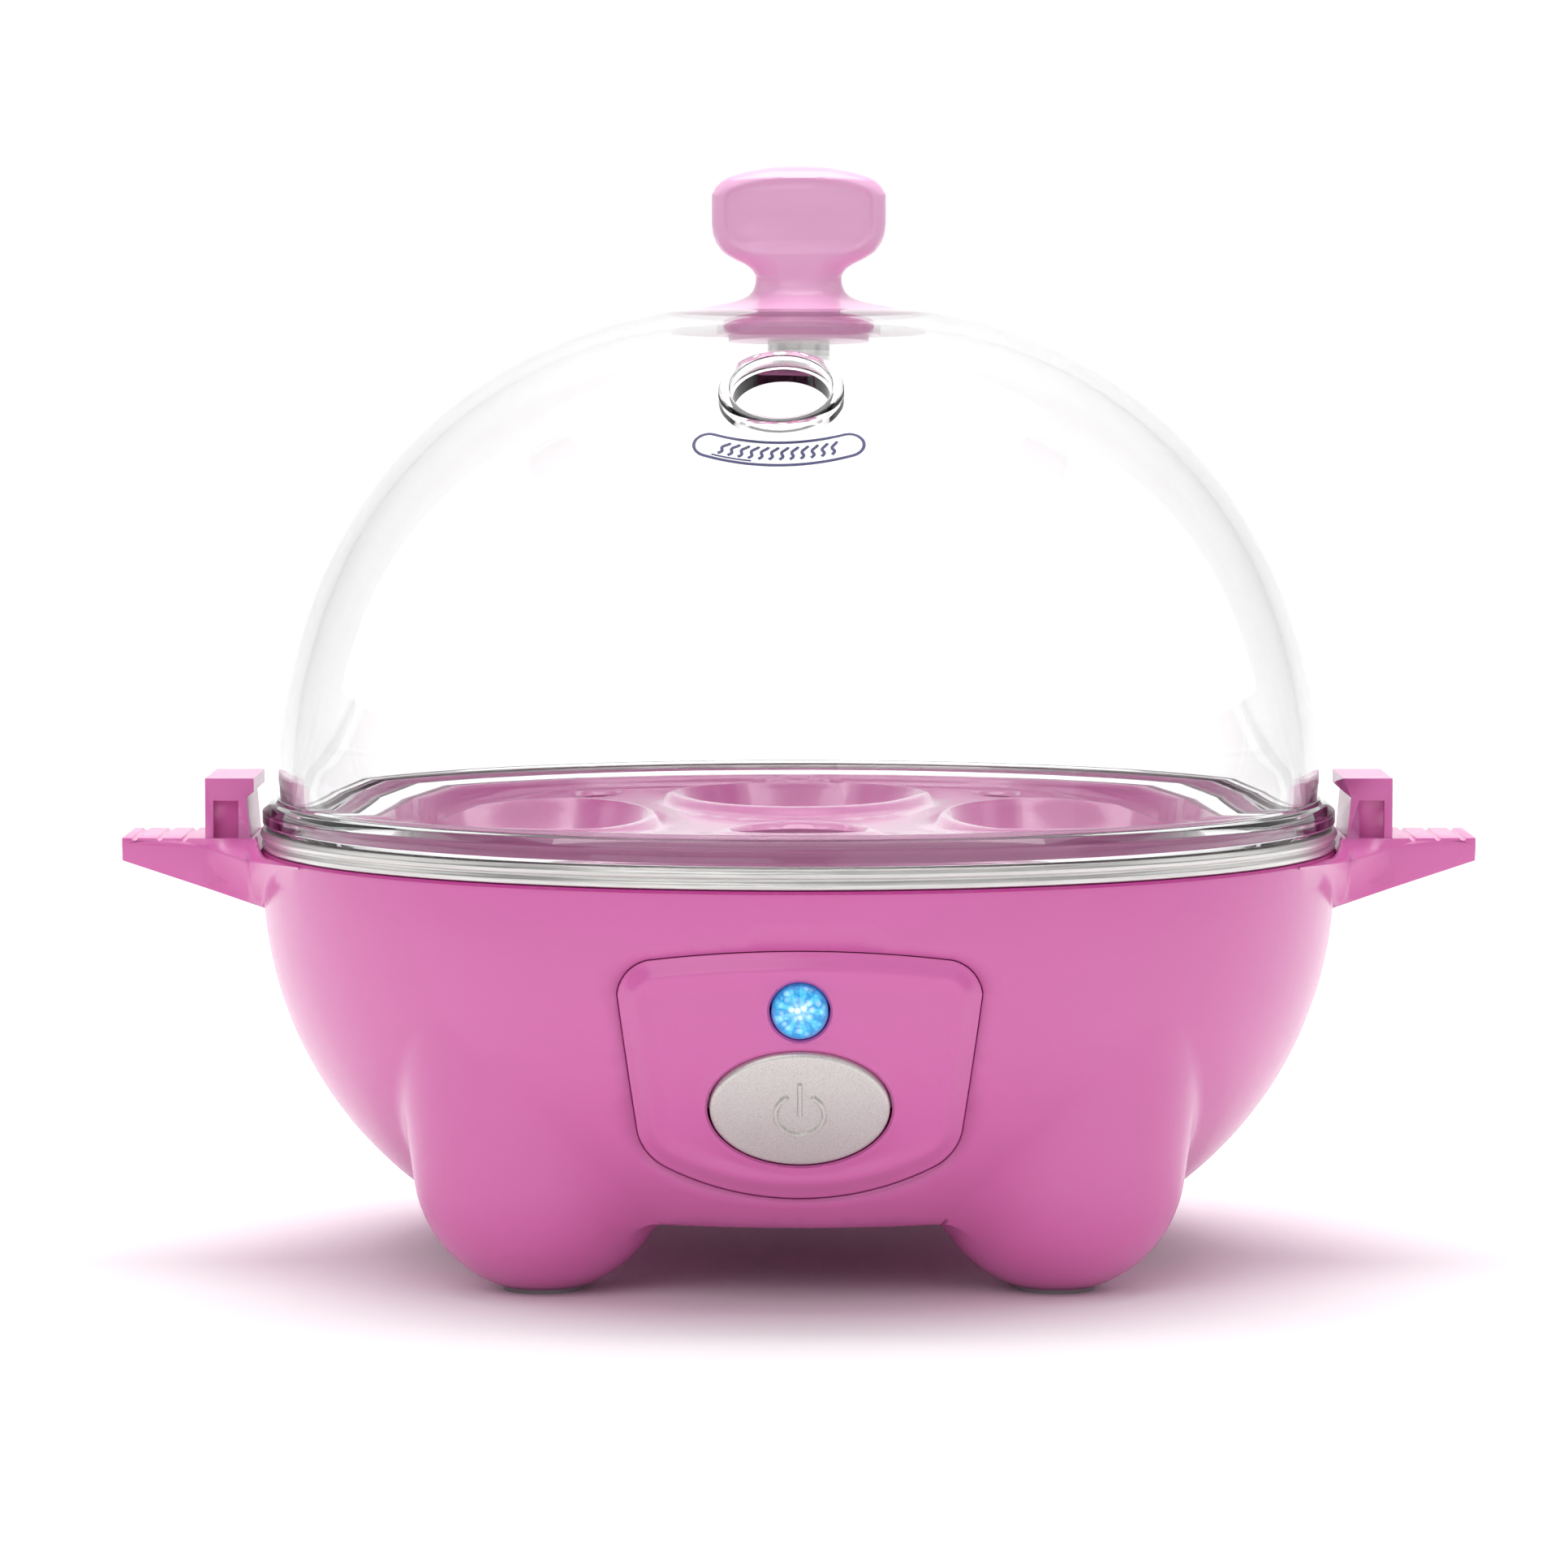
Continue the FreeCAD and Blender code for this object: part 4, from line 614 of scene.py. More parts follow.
def lens_finish(base):
    """Translucent blue lens with a faceted inner face; its colour glows with painted light rays,
    painted glints on the facets and a painted bright middle.
    """
    finish = Finish("blue_lens", base, 0.09, IOR=1.5, Coat_Weight=0.6, Coat_Roughness=0.04,
                    Emission_Strength=0.4)
    _, _, _, start = bowl_frame(LAMP_TILT)
    across, _, z = finish.axes()
    up = z - float(start[2]) * MM
    radius = (across * across + up * up) ** 0.5
    # Painted light rays: nine lighter spokes round the middle of the lens.
    painted_rays = (across.angle_to(up) * 9.0).sine().between(-0.4, 0.5)
    facets = finish.cells(1050.0)
    edges = finish.cells(1050.0, "DISTANCE_TO_EDGE").between(0.0, 0.16)
    # Painted glow and glints: a bright middle, and white glints on the facets that are brightest
    # near it.
    glow_core = 1.0 - radius.between(0.0004, 0.0021)
    painted_glints = facets.between(0.55, 0.15) * (0.35 + glow_core * 0.65)
    # The lens turns darker blue towards its rim.
    rim = radius.between(0.0027, 0.0037)
    lit = finish.mix(painted_rays * 0.5 + edges * 0.3, (0.004, 0.25, 0.62), (0.10, 0.62, 0.93))
    with_glints = finish.mix(painted_glints * 0.85 + glow_core * 0.25, lit, (0.80, 0.96, 1.0))
    shown = finish.mix(rim, with_glints, (0.004, 0.17, 0.50))
    # The colour, with its painted rays, glints and bright middle, also feeds the emission, so the
    # lens glows by itself.
    finish.set("Base Color", shown)
    finish.set("Emission Color", shown)
    finish.ripple(facets, 0.5, 0.0003)
    return finish.material


def rubber_finish(name, base, rough=0.62):
    """Moulded rubber or silicone with a dry, dusty bloom."""
    finish = Finish(name, base, rough)
    bloom = finish.noise(420.0, 5.0, 0.65)
    grit = finish.noise(3000.0, 2.0)
    finish.set("Base Color", finish.mix(bloom.between(0.45, 0.8), base,
                                        tuple(0.85 * c + 0.05 for c in base)))
    finish.set("Roughness", rough - 0.08 + bloom * 0.16)
    finish.ripple(grit, 0.25, 0.0001)
    return finish.material


def print_finish(base):
    """Screen-printed ink with slightly uneven cover."""
    finish = Finish("printed_ink", base, 0.42)
    cover = finish.noise(1800.0, 3.0)
    finish.set("Base Color", finish.mix(cover.between(0.3, 0.8), base, tinted(base, 1.5)))
    finish.set("Roughness", 0.38 + cover * 0.1)
    return finish.material


def zinc_finish(name, base, rough=0.3):
    """Zinc plating: pale spangles with fine tool marks."""
    finish = Finish(name, base, rough, Metallic=1.0)
    spangle = finish.cells(700.0)
    marks = finish.noise(1.0, 3.0, 0.6, finish.stretched((2200.0, 180.0, 2200.0)))
    finish.set("Base Color", finish.mix(spangle.between(0.1, 0.7), tinted(base, 1.06),
                                        tinted(base, 0.88)))
    finish.set("Roughness", rough - 0.05 + marks * 0.12)
    finish.ripple(marks, 0.12, 0.00008)
    return finish.material


def board_finish():
    """Green lacquer over copper tracks."""
    finish = Finish("board_green", (0.012, 0.10, 0.03), 0.35, Coat_Weight=0.4)
    weave = finish.node("ShaderNodeTexBrick", {"offset": 0.5}, {
        "Vector": finish.places, "Scale": 160.0, "Mortar Size": 0.05}, 1)
    patches = finish.cells(230.0, "DISTANCE_TO_EDGE").between(0.05, 0.08)
    finish.set("Base Color", finish.mix(patches, (0.03, 0.17, 0.06), (0.01, 0.08, 0.025)))
    finish.set("Roughness", 0.3 + weave * 0.1)
    finish.ripple(patches, 0.3, 0.00005)
    return finish.material


def glazed_finish(name, base, rough=0.3):
    """Glazed ceramic or glass-fibre sleeve with a faint weave."""
    finish = Finish(name, base, rough)
    weave = finish.noise(1.0, 2.0, 0.5, finish.stretched((1400.0, 1400.0, 500.0)))
    specks = finish.noise(260.0, 4.0)
    finish.set("Base Color", finish.mix(specks.between(0.5, 0.8), base, tinted(base, 0.88)))
    finish.set("Roughness", rough + weave * 0.12)
    finish.ripple(weave, 0.2, 0.00006)
    return finish.material


def heated_finish():
    """Steel tube with straw and blue heat tints."""
    finish = Finish("element_sheath", (0.2, 0.17, 0.15), 0.42, Metallic=1.0)
    tint = finish.noise(60.0, 3.0)
    scale = finish.noise(900.0, 3.0)
    warm = finish.mix(tint.between(0.35, 0.65), (0.26, 0.19, 0.12), (0.14, 0.15, 0.2))
    finish.set("Base Color", warm)
    finish.set("Roughness", 0.36 + scale * 0.18)
    finish.ripple(scale, 0.25, 0.00008)
    return finish.material


FINISHES = {}


def finish_for(slot):
    """The material of one finish in the record, made once."""
    if slot not in FINISHES:
        colours = settings().colours
        makers = {
            "pink_plastic": lambda: moulded_finish("pink_plastic", tuple(colours.body)),
            "knob_pink": lambda: moulded_finish("knob_pink", tuple(colours.handle), 0.3),
            "tray_pink": lambda: moulded_finish("tray_pink", tuple(colours.tray), 0.15, 0.03),
            "clear_plastic": clear_finish,
            "satin_silver": lambda: silver_finish(tuple(colours.silver)),
            "blue_lens": lambda: lens_finish(tuple(colours.lamp)),
            "stainless": lambda: steel_finish("stainless", tuple(colours.steel)),
            "magenta_silicone": lambda: rubber_finish("magenta_silicone", (0.50, 0.03, 0.26)),
            "black_rubber": lambda: rubber_finish("black_rubber", (0.018, 0.018, 0.019)),
            "foot_rubber": lambda: rubber_finish("foot_rubber", (0.30, 0.27, 0.29)),
            "black_plastic": lambda: rubber_finish("black_plastic", (0.02, 0.02, 0.021), 0.4),
            "spring_steel": lambda: steel_finish("spring_steel", (0.42, 0.42, 0.43), 0.25,
                                                 False),
            "zinc_steel": lambda: zinc_finish("zinc_steel", (0.6, 0.61, 0.64)),
            "aluminium_plate": lambda: steel_finish("aluminium_plate", (0.72, 0.72, 0.73),
                                                    0.35, False),
            "element_sheath": heated_finish,
            "ceramic_white": lambda: glazed_finish("ceramic_white", (0.78, 0.74, 0.68)),
            "white_sleeve": lambda: glazed_finish("white_sleeve", (0.80, 0.79, 0.74), 0.5),
            "board_green": board_finish,
            "wire_white": lambda: glazed_finish("wire_white", (0.76, 0.76, 0.73), 0.42),
            "wire_red": lambda: glazed_finish("wire_red", (0.45, 0.02, 0.015), 0.38),
            "lamp_body": lambda: glazed_finish("lamp_body", (0.62, 0.78, 0.86), 0.12),
            "clear_cap": lambda: zinc_finish("clear_cap", (0.66, 0.65, 0.63), 0.2),
            "printed_ink": lambda: print_finish(tuple(colours.ink)),
        }
        FINISHES[slot] = makers[slot]()
    return FINISHES[slot]


def slot_of(node):
    """The record's finish of a CAD node."""
    return next(part["material_slot"] for part in frame["record"]["subparts"]
                if part["node"] == node)


# ------------------------------------------------------------------ pieces of the base
def soften_edges(piece, chosen, width, steps=3):
    """Rounds the chosen sharp edges of a piece."""
    work = bmesh.new()
    work.from_mesh(piece.data)
    weights = work.edges.layers.float.new("bevel_weight_edge")
    for edge in work.edges:
        sharp = edge.is_manifold and edge.calc_face_angle(0.0) > math.radians(34)
        if sharp and all(chosen(v.co / MM) for v in edge.verts):
            edge[weights] = 1.0
    work.to_mesh(piece.data)
    work.free()
    rule = piece.modifiers.new("soft edges", "BEVEL")
    rule.limit_method = "WEIGHT"
    rule.width = width * MM
    rule.segments = steps
    rule.harden_normals = False
    return as_plain(piece)


def on_handle(place):
    """True for a place on a handle or its lid post."""
    return abs(place.x) > 76.5 and place.z > 50.0 or abs(place.x) > 74.2 and place.z > 57.6


class EGGCOOKER_OT_housing(bpy.types.Operator):
    """Builds the housing with its flared legs and its handles"""
    bl_idname = "eggcooker.housing"
    bl_label = "Housing"

    def execute(self, context):
        housing = merged_copy("outer_housing", "housing_shell")
        work = bmesh.new()
        work.from_mesh(housing.data)
        flat = [f for f in work.faces if all(on_handle(v.co / MM) for v in f.verts)]
        inner = {e for f in flat for e in f.edges}
        corners = {v for f in flat for v in f.verts}
        bmesh.ops.dissolve_limit(work, angle_limit=math.radians(0.6), verts=list(corners),
                                 edges=list(inner))
        work.to_mesh(housing.data)
        work.free()
        soften_edges(housing, on_handle, 0.42)
        facing_out(housing.data)
        housing.data.shade_smooth()
        housing.data.set_sharp_from_angle(angle=math.radians(38))
        settle(housing, "base", finish_for("pink_plastic"), "pink_plastic", "outer_housing")
        return {"FINISHED"}


PANEL_OUTLINE = [(23.1, 42.0), (19.3, 46.4, 5.2), (-19.3, 46.4, 133.7), (-23.1, 42.0, 5.2),
                 (-20.7, 23.6), (-17.4, 19.0, 7.0), (17.4, 19.0, 36.6), (20.7, 23.6, 7.0)]
BUTTON_WIDE, BUTTON_HIGH, BUTTON_GAP = 11.5, 8.6, 0.27
FLANGE_WIDE, FLANGE_HIGH, STEM_RADIUS = 13.4, 5.0, 3.2
LENS_RADIUS, LENS_GAP = 3.6, 0.25


class EGGCOOKER_OT_panel(bpy.types.Operator):
    """Builds the raised control panel with its bevelled edge and its two openings"""
    bl_idname = "eggcooker.panel"
    bl_label = "Control panel"

    def execute(self, context):
        sizes = settings().panel
        proud, dish, bevel, lip = (getattr(sizes, name) / MM
                                   for name in ("proud", "dish", "bevel", "lip"))
        outline = trace(PANEL_OUTLINE)
        button_hole = hole_in_front(BUTTON_TILT, BUTTON_WIDE + BUTTON_GAP,
                                    BUTTON_HIGH + BUTTON_GAP, 0.7, 132)
        lens_hole = hole_in_front(LAMP_TILT, LENS_RADIUS + LENS_GAP, LENS_RADIUS + LENS_GAP,
                                  0.8, 60)
        rings = [moved_in(outline, gap) for gap in
                 (0.12, 0.3, 0.6, 1.1, 1.7, bevel - 0.25, bevel, bevel + 0.25, bevel + 0.55,
                  bevel + 1.0, bevel + 1.6, bevel + 2.4)]
        for gap in (0.12, 0.3, 0.55, 0.9, 1.3, 1.8, 2.4):
            rings.append(moved_in(button_hole, -gap))
        for gap in (0.12, 0.3, 0.6, 1.0):
            rings.append(moved_in(lens_hole, -gap))
        rings = [ring[(gap_to(ring, outline) > 0.05) & within(ring, outline)
                      & ~within(ring, button_hole) & ~within(ring, lens_hole)]
                 for ring in rings]

        def height(places):
            inwards = gap_to(places, outline)
            rise = np.interp(inwards, [0, 0.1, 0.3, 0.6, bevel - 0.25, bevel, bevel + 0.25],
                             [0.02, 0.12, 0.2, 0.26, proud - 0.08, proud - 0.01, proud])
            sunk = dish * smooth(inwards, bevel + 0.12, bevel + 2.1)
            by_button = gap_to(places, button_hole)
            raised = lip * smooth(by_button, 1.5, 0.5) - 0.35 * smooth(by_button, 0.32, 0.0)
            by_lens = gap_to(places, lens_hole)
            raised = raised + 0.1 * smooth(by_lens, 0.9, 0.4) - 0.25 * smooth(by_lens, 0.3, 0.0)
            hollow = 0.22 * smooth(by_button, 4.5, 1.5) * smooth(inwards, bevel, bevel + 2)
            return rise - sunk + raised - hollow

        def top(x, z):
            return np.column_stack([x, bowl_depth(x, z, height(np.column_stack([x, z]))), z])

        def under(x, z):
            return np.column_stack([x, bowl_depth(x, z, -1.15), z])

        verts, faces = plate(outline, [button_hole, lens_hole], rings, 0.75, top, under)
        panel = make_piece("control_panel_face", verts, faces, 44)
        settle(panel, "base", finish_for("pink_plastic"), "pink_plastic", "control_panel")
        return {"FINISHED"}


def symbol_mask(u, v, ring, stroke):
    """1 on the ring and bar of the power symbol, with softly rounded edges."""
    centre = -0.15
    radius = np.hypot(u, v - centre)
    turn = np.abs(np.arctan2(u, v - centre))
    opening = math.radians(34)
    tips = np.minimum(np.hypot(u - ring * math.sin(opening), v - centre - ring * math.cos(opening)),
                      np.hypot(u + ring * math.sin(opening), v - centre - ring * math.cos(opening)))
    from_ring = np.where(turn > opening, np.abs(radius - ring), tips)
    bar_low, bar_top = -0.2, ring + 1.2
    from_bar = np.hypot(u, v - np.clip(v, bar_low, bar_top))
    gap = np.minimum(from_ring, from_bar)
    return smooth(gap, stroke / 2 + 0.08, stroke / 2 - 0.07)


class EGGCOOKER_OT_button(bpy.types.Operator):
    """Builds the crowned oval button with its raised power symbol, flange and stem"""
    bl_idname = "eggcooker.button"
    bl_label = "Power button"

    def execute(self, context):
        sizes = settings().panel
        ring, stroke, emboss = (getattr(sizes, n) / MM for n in ("ring", "stroke", "emboss"))
        edge, crown, back = 0.3, 0.62, 4.85
        turn = np.linspace(0, 2 * math.pi, 144, endpoint=False)
        oval = np.column_stack([BUTTON_WIDE * np.cos(turn), BUTTON_HIGH * np.sin(turn)])
        oval *= 0.998
        rings = [moved_in(oval, gap) for gap in (0.07, 0.16, 0.3, 0.48, 0.7, 1.0)]
        fine = np.array([(u, v) for u in np.arange(-4.2, 4.21, 0.11)
                         for v in np.arange(-4.1, 5.0, 0.11)])
        near_symbol = symbol_mask(fine[:, 0], fine[:, 1], ring, stroke + 0.7) > 0.0
        fine = fine[near_symbol]

        def top(u, v):
            places = np.column_stack([u, v])
            inwards = gap_to(places, oval)
            bulge = crown * (1 - (u / BUTTON_WIDE) ** 2 - (v / BUTTON_HIGH) ** 2)
            rounding = 0.6 - np.sqrt(np.maximum(0.36 - np.maximum(0.6 - inwards, 0) ** 2, 0))
            face = edge + bulge - rounding
            return onto_line(BUTTON_TILT, u, v,
                             face + emboss * symbol_mask(u, v, ring, stroke))

        def under(u, v):
            return onto_line(BUTTON_TILT, u, v, np.full(len(u), -3.8))

        cap = plate(oval, [], rings, 0.6, top, under, fine)
        flange_oval = np.column_stack([FLANGE_WIDE * np.cos(turn), FLANGE_HIGH * np.sin(turn)])
        flange = plate(flange_oval, [], [], 2.0,
                       lambda u, v: onto_line(BUTTON_TILT, u, v, np.full(len(u), -3.9)),
                       lambda u, v: onto_line(BUTTON_TILT, u, v, np.full(len(u), -back)))
        stem = plate(circle(STEM_RADIUS, count=40), [], [], 1.5,
                     lambda u, v: onto_line(BUTTON_TILT, u, v, np.full(len(u), 0.05 - back)),
                     lambda u, v: onto_line(BUTTON_TILT, u, v, np.full(len(u), -8.6)))
        verts, faces = joined(cap, flange, stem)
        button = make_piece("power_button_cap", verts, faces, 50)
        settle(button, "button", finish_for("satin_silver"), "satin_silver", "power_button")
        return {"FINISHED"}


class EGGCOOKER_OT_lens(bpy.types.Operator):
    """Builds the crowned indicator lens"""
    bl_idname = "eggcooker.lens"
    bl_label = "Indicator lens"

    def execute(self, context):
        edge, crown = 0.9, 1.1
        profile = [(0.0, -2.6), (LENS_RADIUS, -2.6), (LENS_RADIUS, edge - 0.3)]
        profile += [(LENS_RADIUS * math.cos(a) ** 0.55 if a < 1.57 else 0.0,
                     edge - 0.3 + (crown + 0.3) * math.sin(a))
                    for a in np.linspace(0.12, math.pi / 2, 14)]
        verts, faces = turned_body(profile, 72)
        verts = onto_line(LAMP_TILT, verts[:, 0], verts[:, 1], verts[:, 2])
        lens = make_piece("indicator_lens_cap", verts, faces, 60)
        settle(lens, "base", finish_for("blue_lens"), "blue_lens", "indicator_lens")
        return {"FINISHED"}


class EGGCOOKER_OT_spring(bpy.types.Operator):
    """Gives the button's return spring its finish; the spring keeps its shape as the button goes in
    """
    bl_idname = "eggcooker.spring"
    bl_label = "Return spring"

    def execute(self, context):
        press = next(joint for joint in frame["record"]["behaviour"]["joints"]
                     if joint["name"] == "button_press")
        spring = merged_copy("button_spring", "return_spring")
        axis = Vector(press["axis"]).normalized()
        inner = max((v.co for v in spring.data.vertices), key=axis.dot)
        outer = min((v.co for v in spring.data.vertices), key=axis.dot)
        free_length = axis.dot(inner - outer)
        travel = press["range_m"][1]
        spring.data.shade_smooth()
        settle(spring, "base", finish_for("spring_steel"), "spring_steel", "button_spring")
        1 - travel / free_length
        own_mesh(spring)
        return {"FINISHED"}


PAN_PROFILE = [
    (0.0, 46.0), (58.0, 46.0, 2.0), (64.0, 54.0, 1.0), (65.0, 56.0, 0.6), (69.3, 56.0, 0.2),
    (69.3, 55.4, 0.2), (72.9, 55.4, 0.7), (73.1, 56.3, 0.4), (72.75, 56.75, 0.25),
    (73.1, 57.1, 0.3), (73.35, 57.6, 0.5), (72.9, 58.3, 0.5), (68.7, 58.3, 0.4),
    (68.4, 57.0, 0.3), (64.6, 57.0, 0.8), (63.0, 54.4, 1.5), (57.4, 47.0, 2.5)]
PAN_RIPPLES = [(50.0, 0.25), (40.0, 0.25), (30.0, 0.25)]


class EGGCOOKER_OT_pan(bpy.types.Operator):
    """Builds the stainless pan with its rolled rim and pressed floor rings"""
    bl_idname = "eggcooker.pan"
    bl_label = "Water pan"

    def execute(self, context):
        profile = [tuple(p) for p in soften(PAN_PROFILE, 6)]
        for radius, depth in PAN_RIPPLES:
            profile += [(radius + 1.6 * math.cos(a), 47.0 - depth * math.sin(a))
                        for a in np.linspace(0, math.pi, 7)]
        profile.append((0.0, 47.0))
        verts, faces = turned_body(profile, 180)
        pan = make_piece("water_pan", verts, faces, 40)
        settle(pan, "base", finish_for("stainless"), "stainless", "heating_plate")
        return {"FINISHED"}


# ------------------------------------------------------------------ egg tray
TRAY_RADIUS, TRAY_DECK, TRAY_TOP, TRAY_BOTTOM, TRAY_WALL = 67.9, 59.0, 60.5, 57.1, 1.6


def seat_centres(count, pitch):
    """Middles of the egg seats, one of them at the front."""
    return [(pitch * math.cos(2 * math.pi * k / count + math.pi / 6),
             pitch * math.sin(2 * math.pi * k / count + math.pi / 6)) for k in range(count)]


class EGGCOOKER_OT_tray(bpy.types.Operator):
    """Builds the egg tray with its cone seats, steam holes and rolled rim"""
    bl_idname = "eggcooker.tray"
    bl_label = "Egg tray"

    def execute(self, context):
        sizes = settings().tray
        mouth, foot, pitch = (getattr(sizes, n) / MM for n in ("mouth", "foot", "pitch"))
        seats = seat_centres(sizes.seats, pitch)
        outline = circle(TRAY_RADIUS, count=240)
        depth = 7.0
        holes = [circle(foot, c, 56) for c in seats]
        steam = [(1.3 * pitch * math.cos(2 * math.pi * k / sizes.seats),
                  1.3 * pitch * math.sin(2 * math.pi * k / sizes.seats))
                 for k in range(sizes.seats)]
        holes += [circle(3.0, c, 30) for c in steam] + [circle(9.0, (0, 0), 48)]
        rings = [circle(TRAY_RADIUS - gap, count=240)
                 for gap in (0.1, 0.28, 0.5, 0.8, 1.6, 2.6, 3.1, 3.5, 3.9, 4.4, 5.0)]
        for centre in seats:
            rings += [circle(foot + gap, centre, 60) for gap in (0.25, 0.6, 1.2, 2.4, 3.6, 4.8)]
            rings += [circle(mouth + gap, centre, 84)
                      for gap in (-0.9, -0.5, -0.25, 0, 0.3, 0.7, 1.1, 1.5, 2.0)]
        for centre in steam:
            rings += [circle(3.0 + gap, centre, 36) for gap in (0.2, 0.5, 1.0)]
        rings += [circle(9.0 + gap, (0, 0), 60) for gap in (0.3, 0.7, 1.2, 2.0)]
        every_seat = np.array(seats)
        rings = [ring[self.allowed(ring, every_seat, foot)] for ring in rings]

        def height(x, y):
            radius = np.hypot(x, y)
            deck = TRAY_DECK + (TRAY_TOP - TRAY_DECK) * smooth(radius, TRAY_RADIUS - 4.7,
                                                               TRAY_RADIUS - 3.1)
            edge = np.maximum(radius - (TRAY_RADIUS - 0.8), 0)
            deck -= 0.8 - np.sqrt(np.maximum(0.64 - edge ** 2, 0))
            deck = deck + 0.7 * smooth(radius, 12.5, 10.2) - 0.4 * smooth(radius, 9.5, 9.0)
            for centre in seats:
                away = np.hypot(x - centre[0], y - centre[1])
                lip = 0.55 * smooth(away, mouth + 1.9, mouth + 0.8)
                slope = (mouth - away) / (mouth - foot) * depth
                inside = TRAY_DECK + 0.55 - np.maximum(slope, 0)
                soft = smooth(away, mouth - 0.4, mouth + 0.5)
                deck = np.where(away < mouth + 2.0, (deck + lip) * soft + inside * (1 - soft),
                                deck)
            for centre in steam:
                away = np.hypot(x - centre[0], y - centre[1])
                deck = deck - 0.35 * smooth(away, 3.5, 3.0)
            return deck

        def top(x, y):
            return np.column_stack([x, y, height(x, y)])

        def under(x, y):
            radius = np.hypot(x, y)
            skirt = smooth(radius, TRAY_RADIUS - TRAY_WALL - 0.2, TRAY_RADIUS - TRAY_WALL)
            plain = height(x, y) - TRAY_WALL
            return np.column_stack([x, y, plain * (1 - skirt) + TRAY_BOTTOM * skirt])

        verts, faces = plate(outline, holes, rings, 2.2, top, under)
        tray = make_piece("egg_tray_plate", verts, faces, 42)
        settle(tray, "tray", finish_for("tray_pink"), "tray_pink", "egg_tray")
        return {"FINISHED"}

    @staticmethod
    def allowed(ring, seats, foot):
        """True for places off the holes' edges and on the tray."""
        away = np.hypot(ring[:, None, 0] - seats[:, 0], ring[:, None, 1] - seats[:, 1])
        return (away.min(axis=1) > foot + 0.2) & (np.hypot(*ring.T) < TRAY_RADIUS - 0.05)


# ------------------------------------------------------------------ things that repeat
def tree_with(name, inputs):
    """A Geometry Nodes tree with named inputs and a finish, and its group input and output."""
    tree = bpy.data.node_groups.new(name, "GeometryNodeTree")
    tree.interface.new_socket("Geometry", in_out="OUTPUT", socket_type="NodeSocketGeometry")
    for label, kind in inputs:
        tree.interface.new_socket(label, in_out="INPUT", socket_type=kind)
    return tree, tree.nodes.new("NodeGroupInput"), tree.nodes.new("NodeGroupOutput")


def wire_up(tree, source, target):
    """Links two sockets of a tree."""
    tree.links.new(source, target)


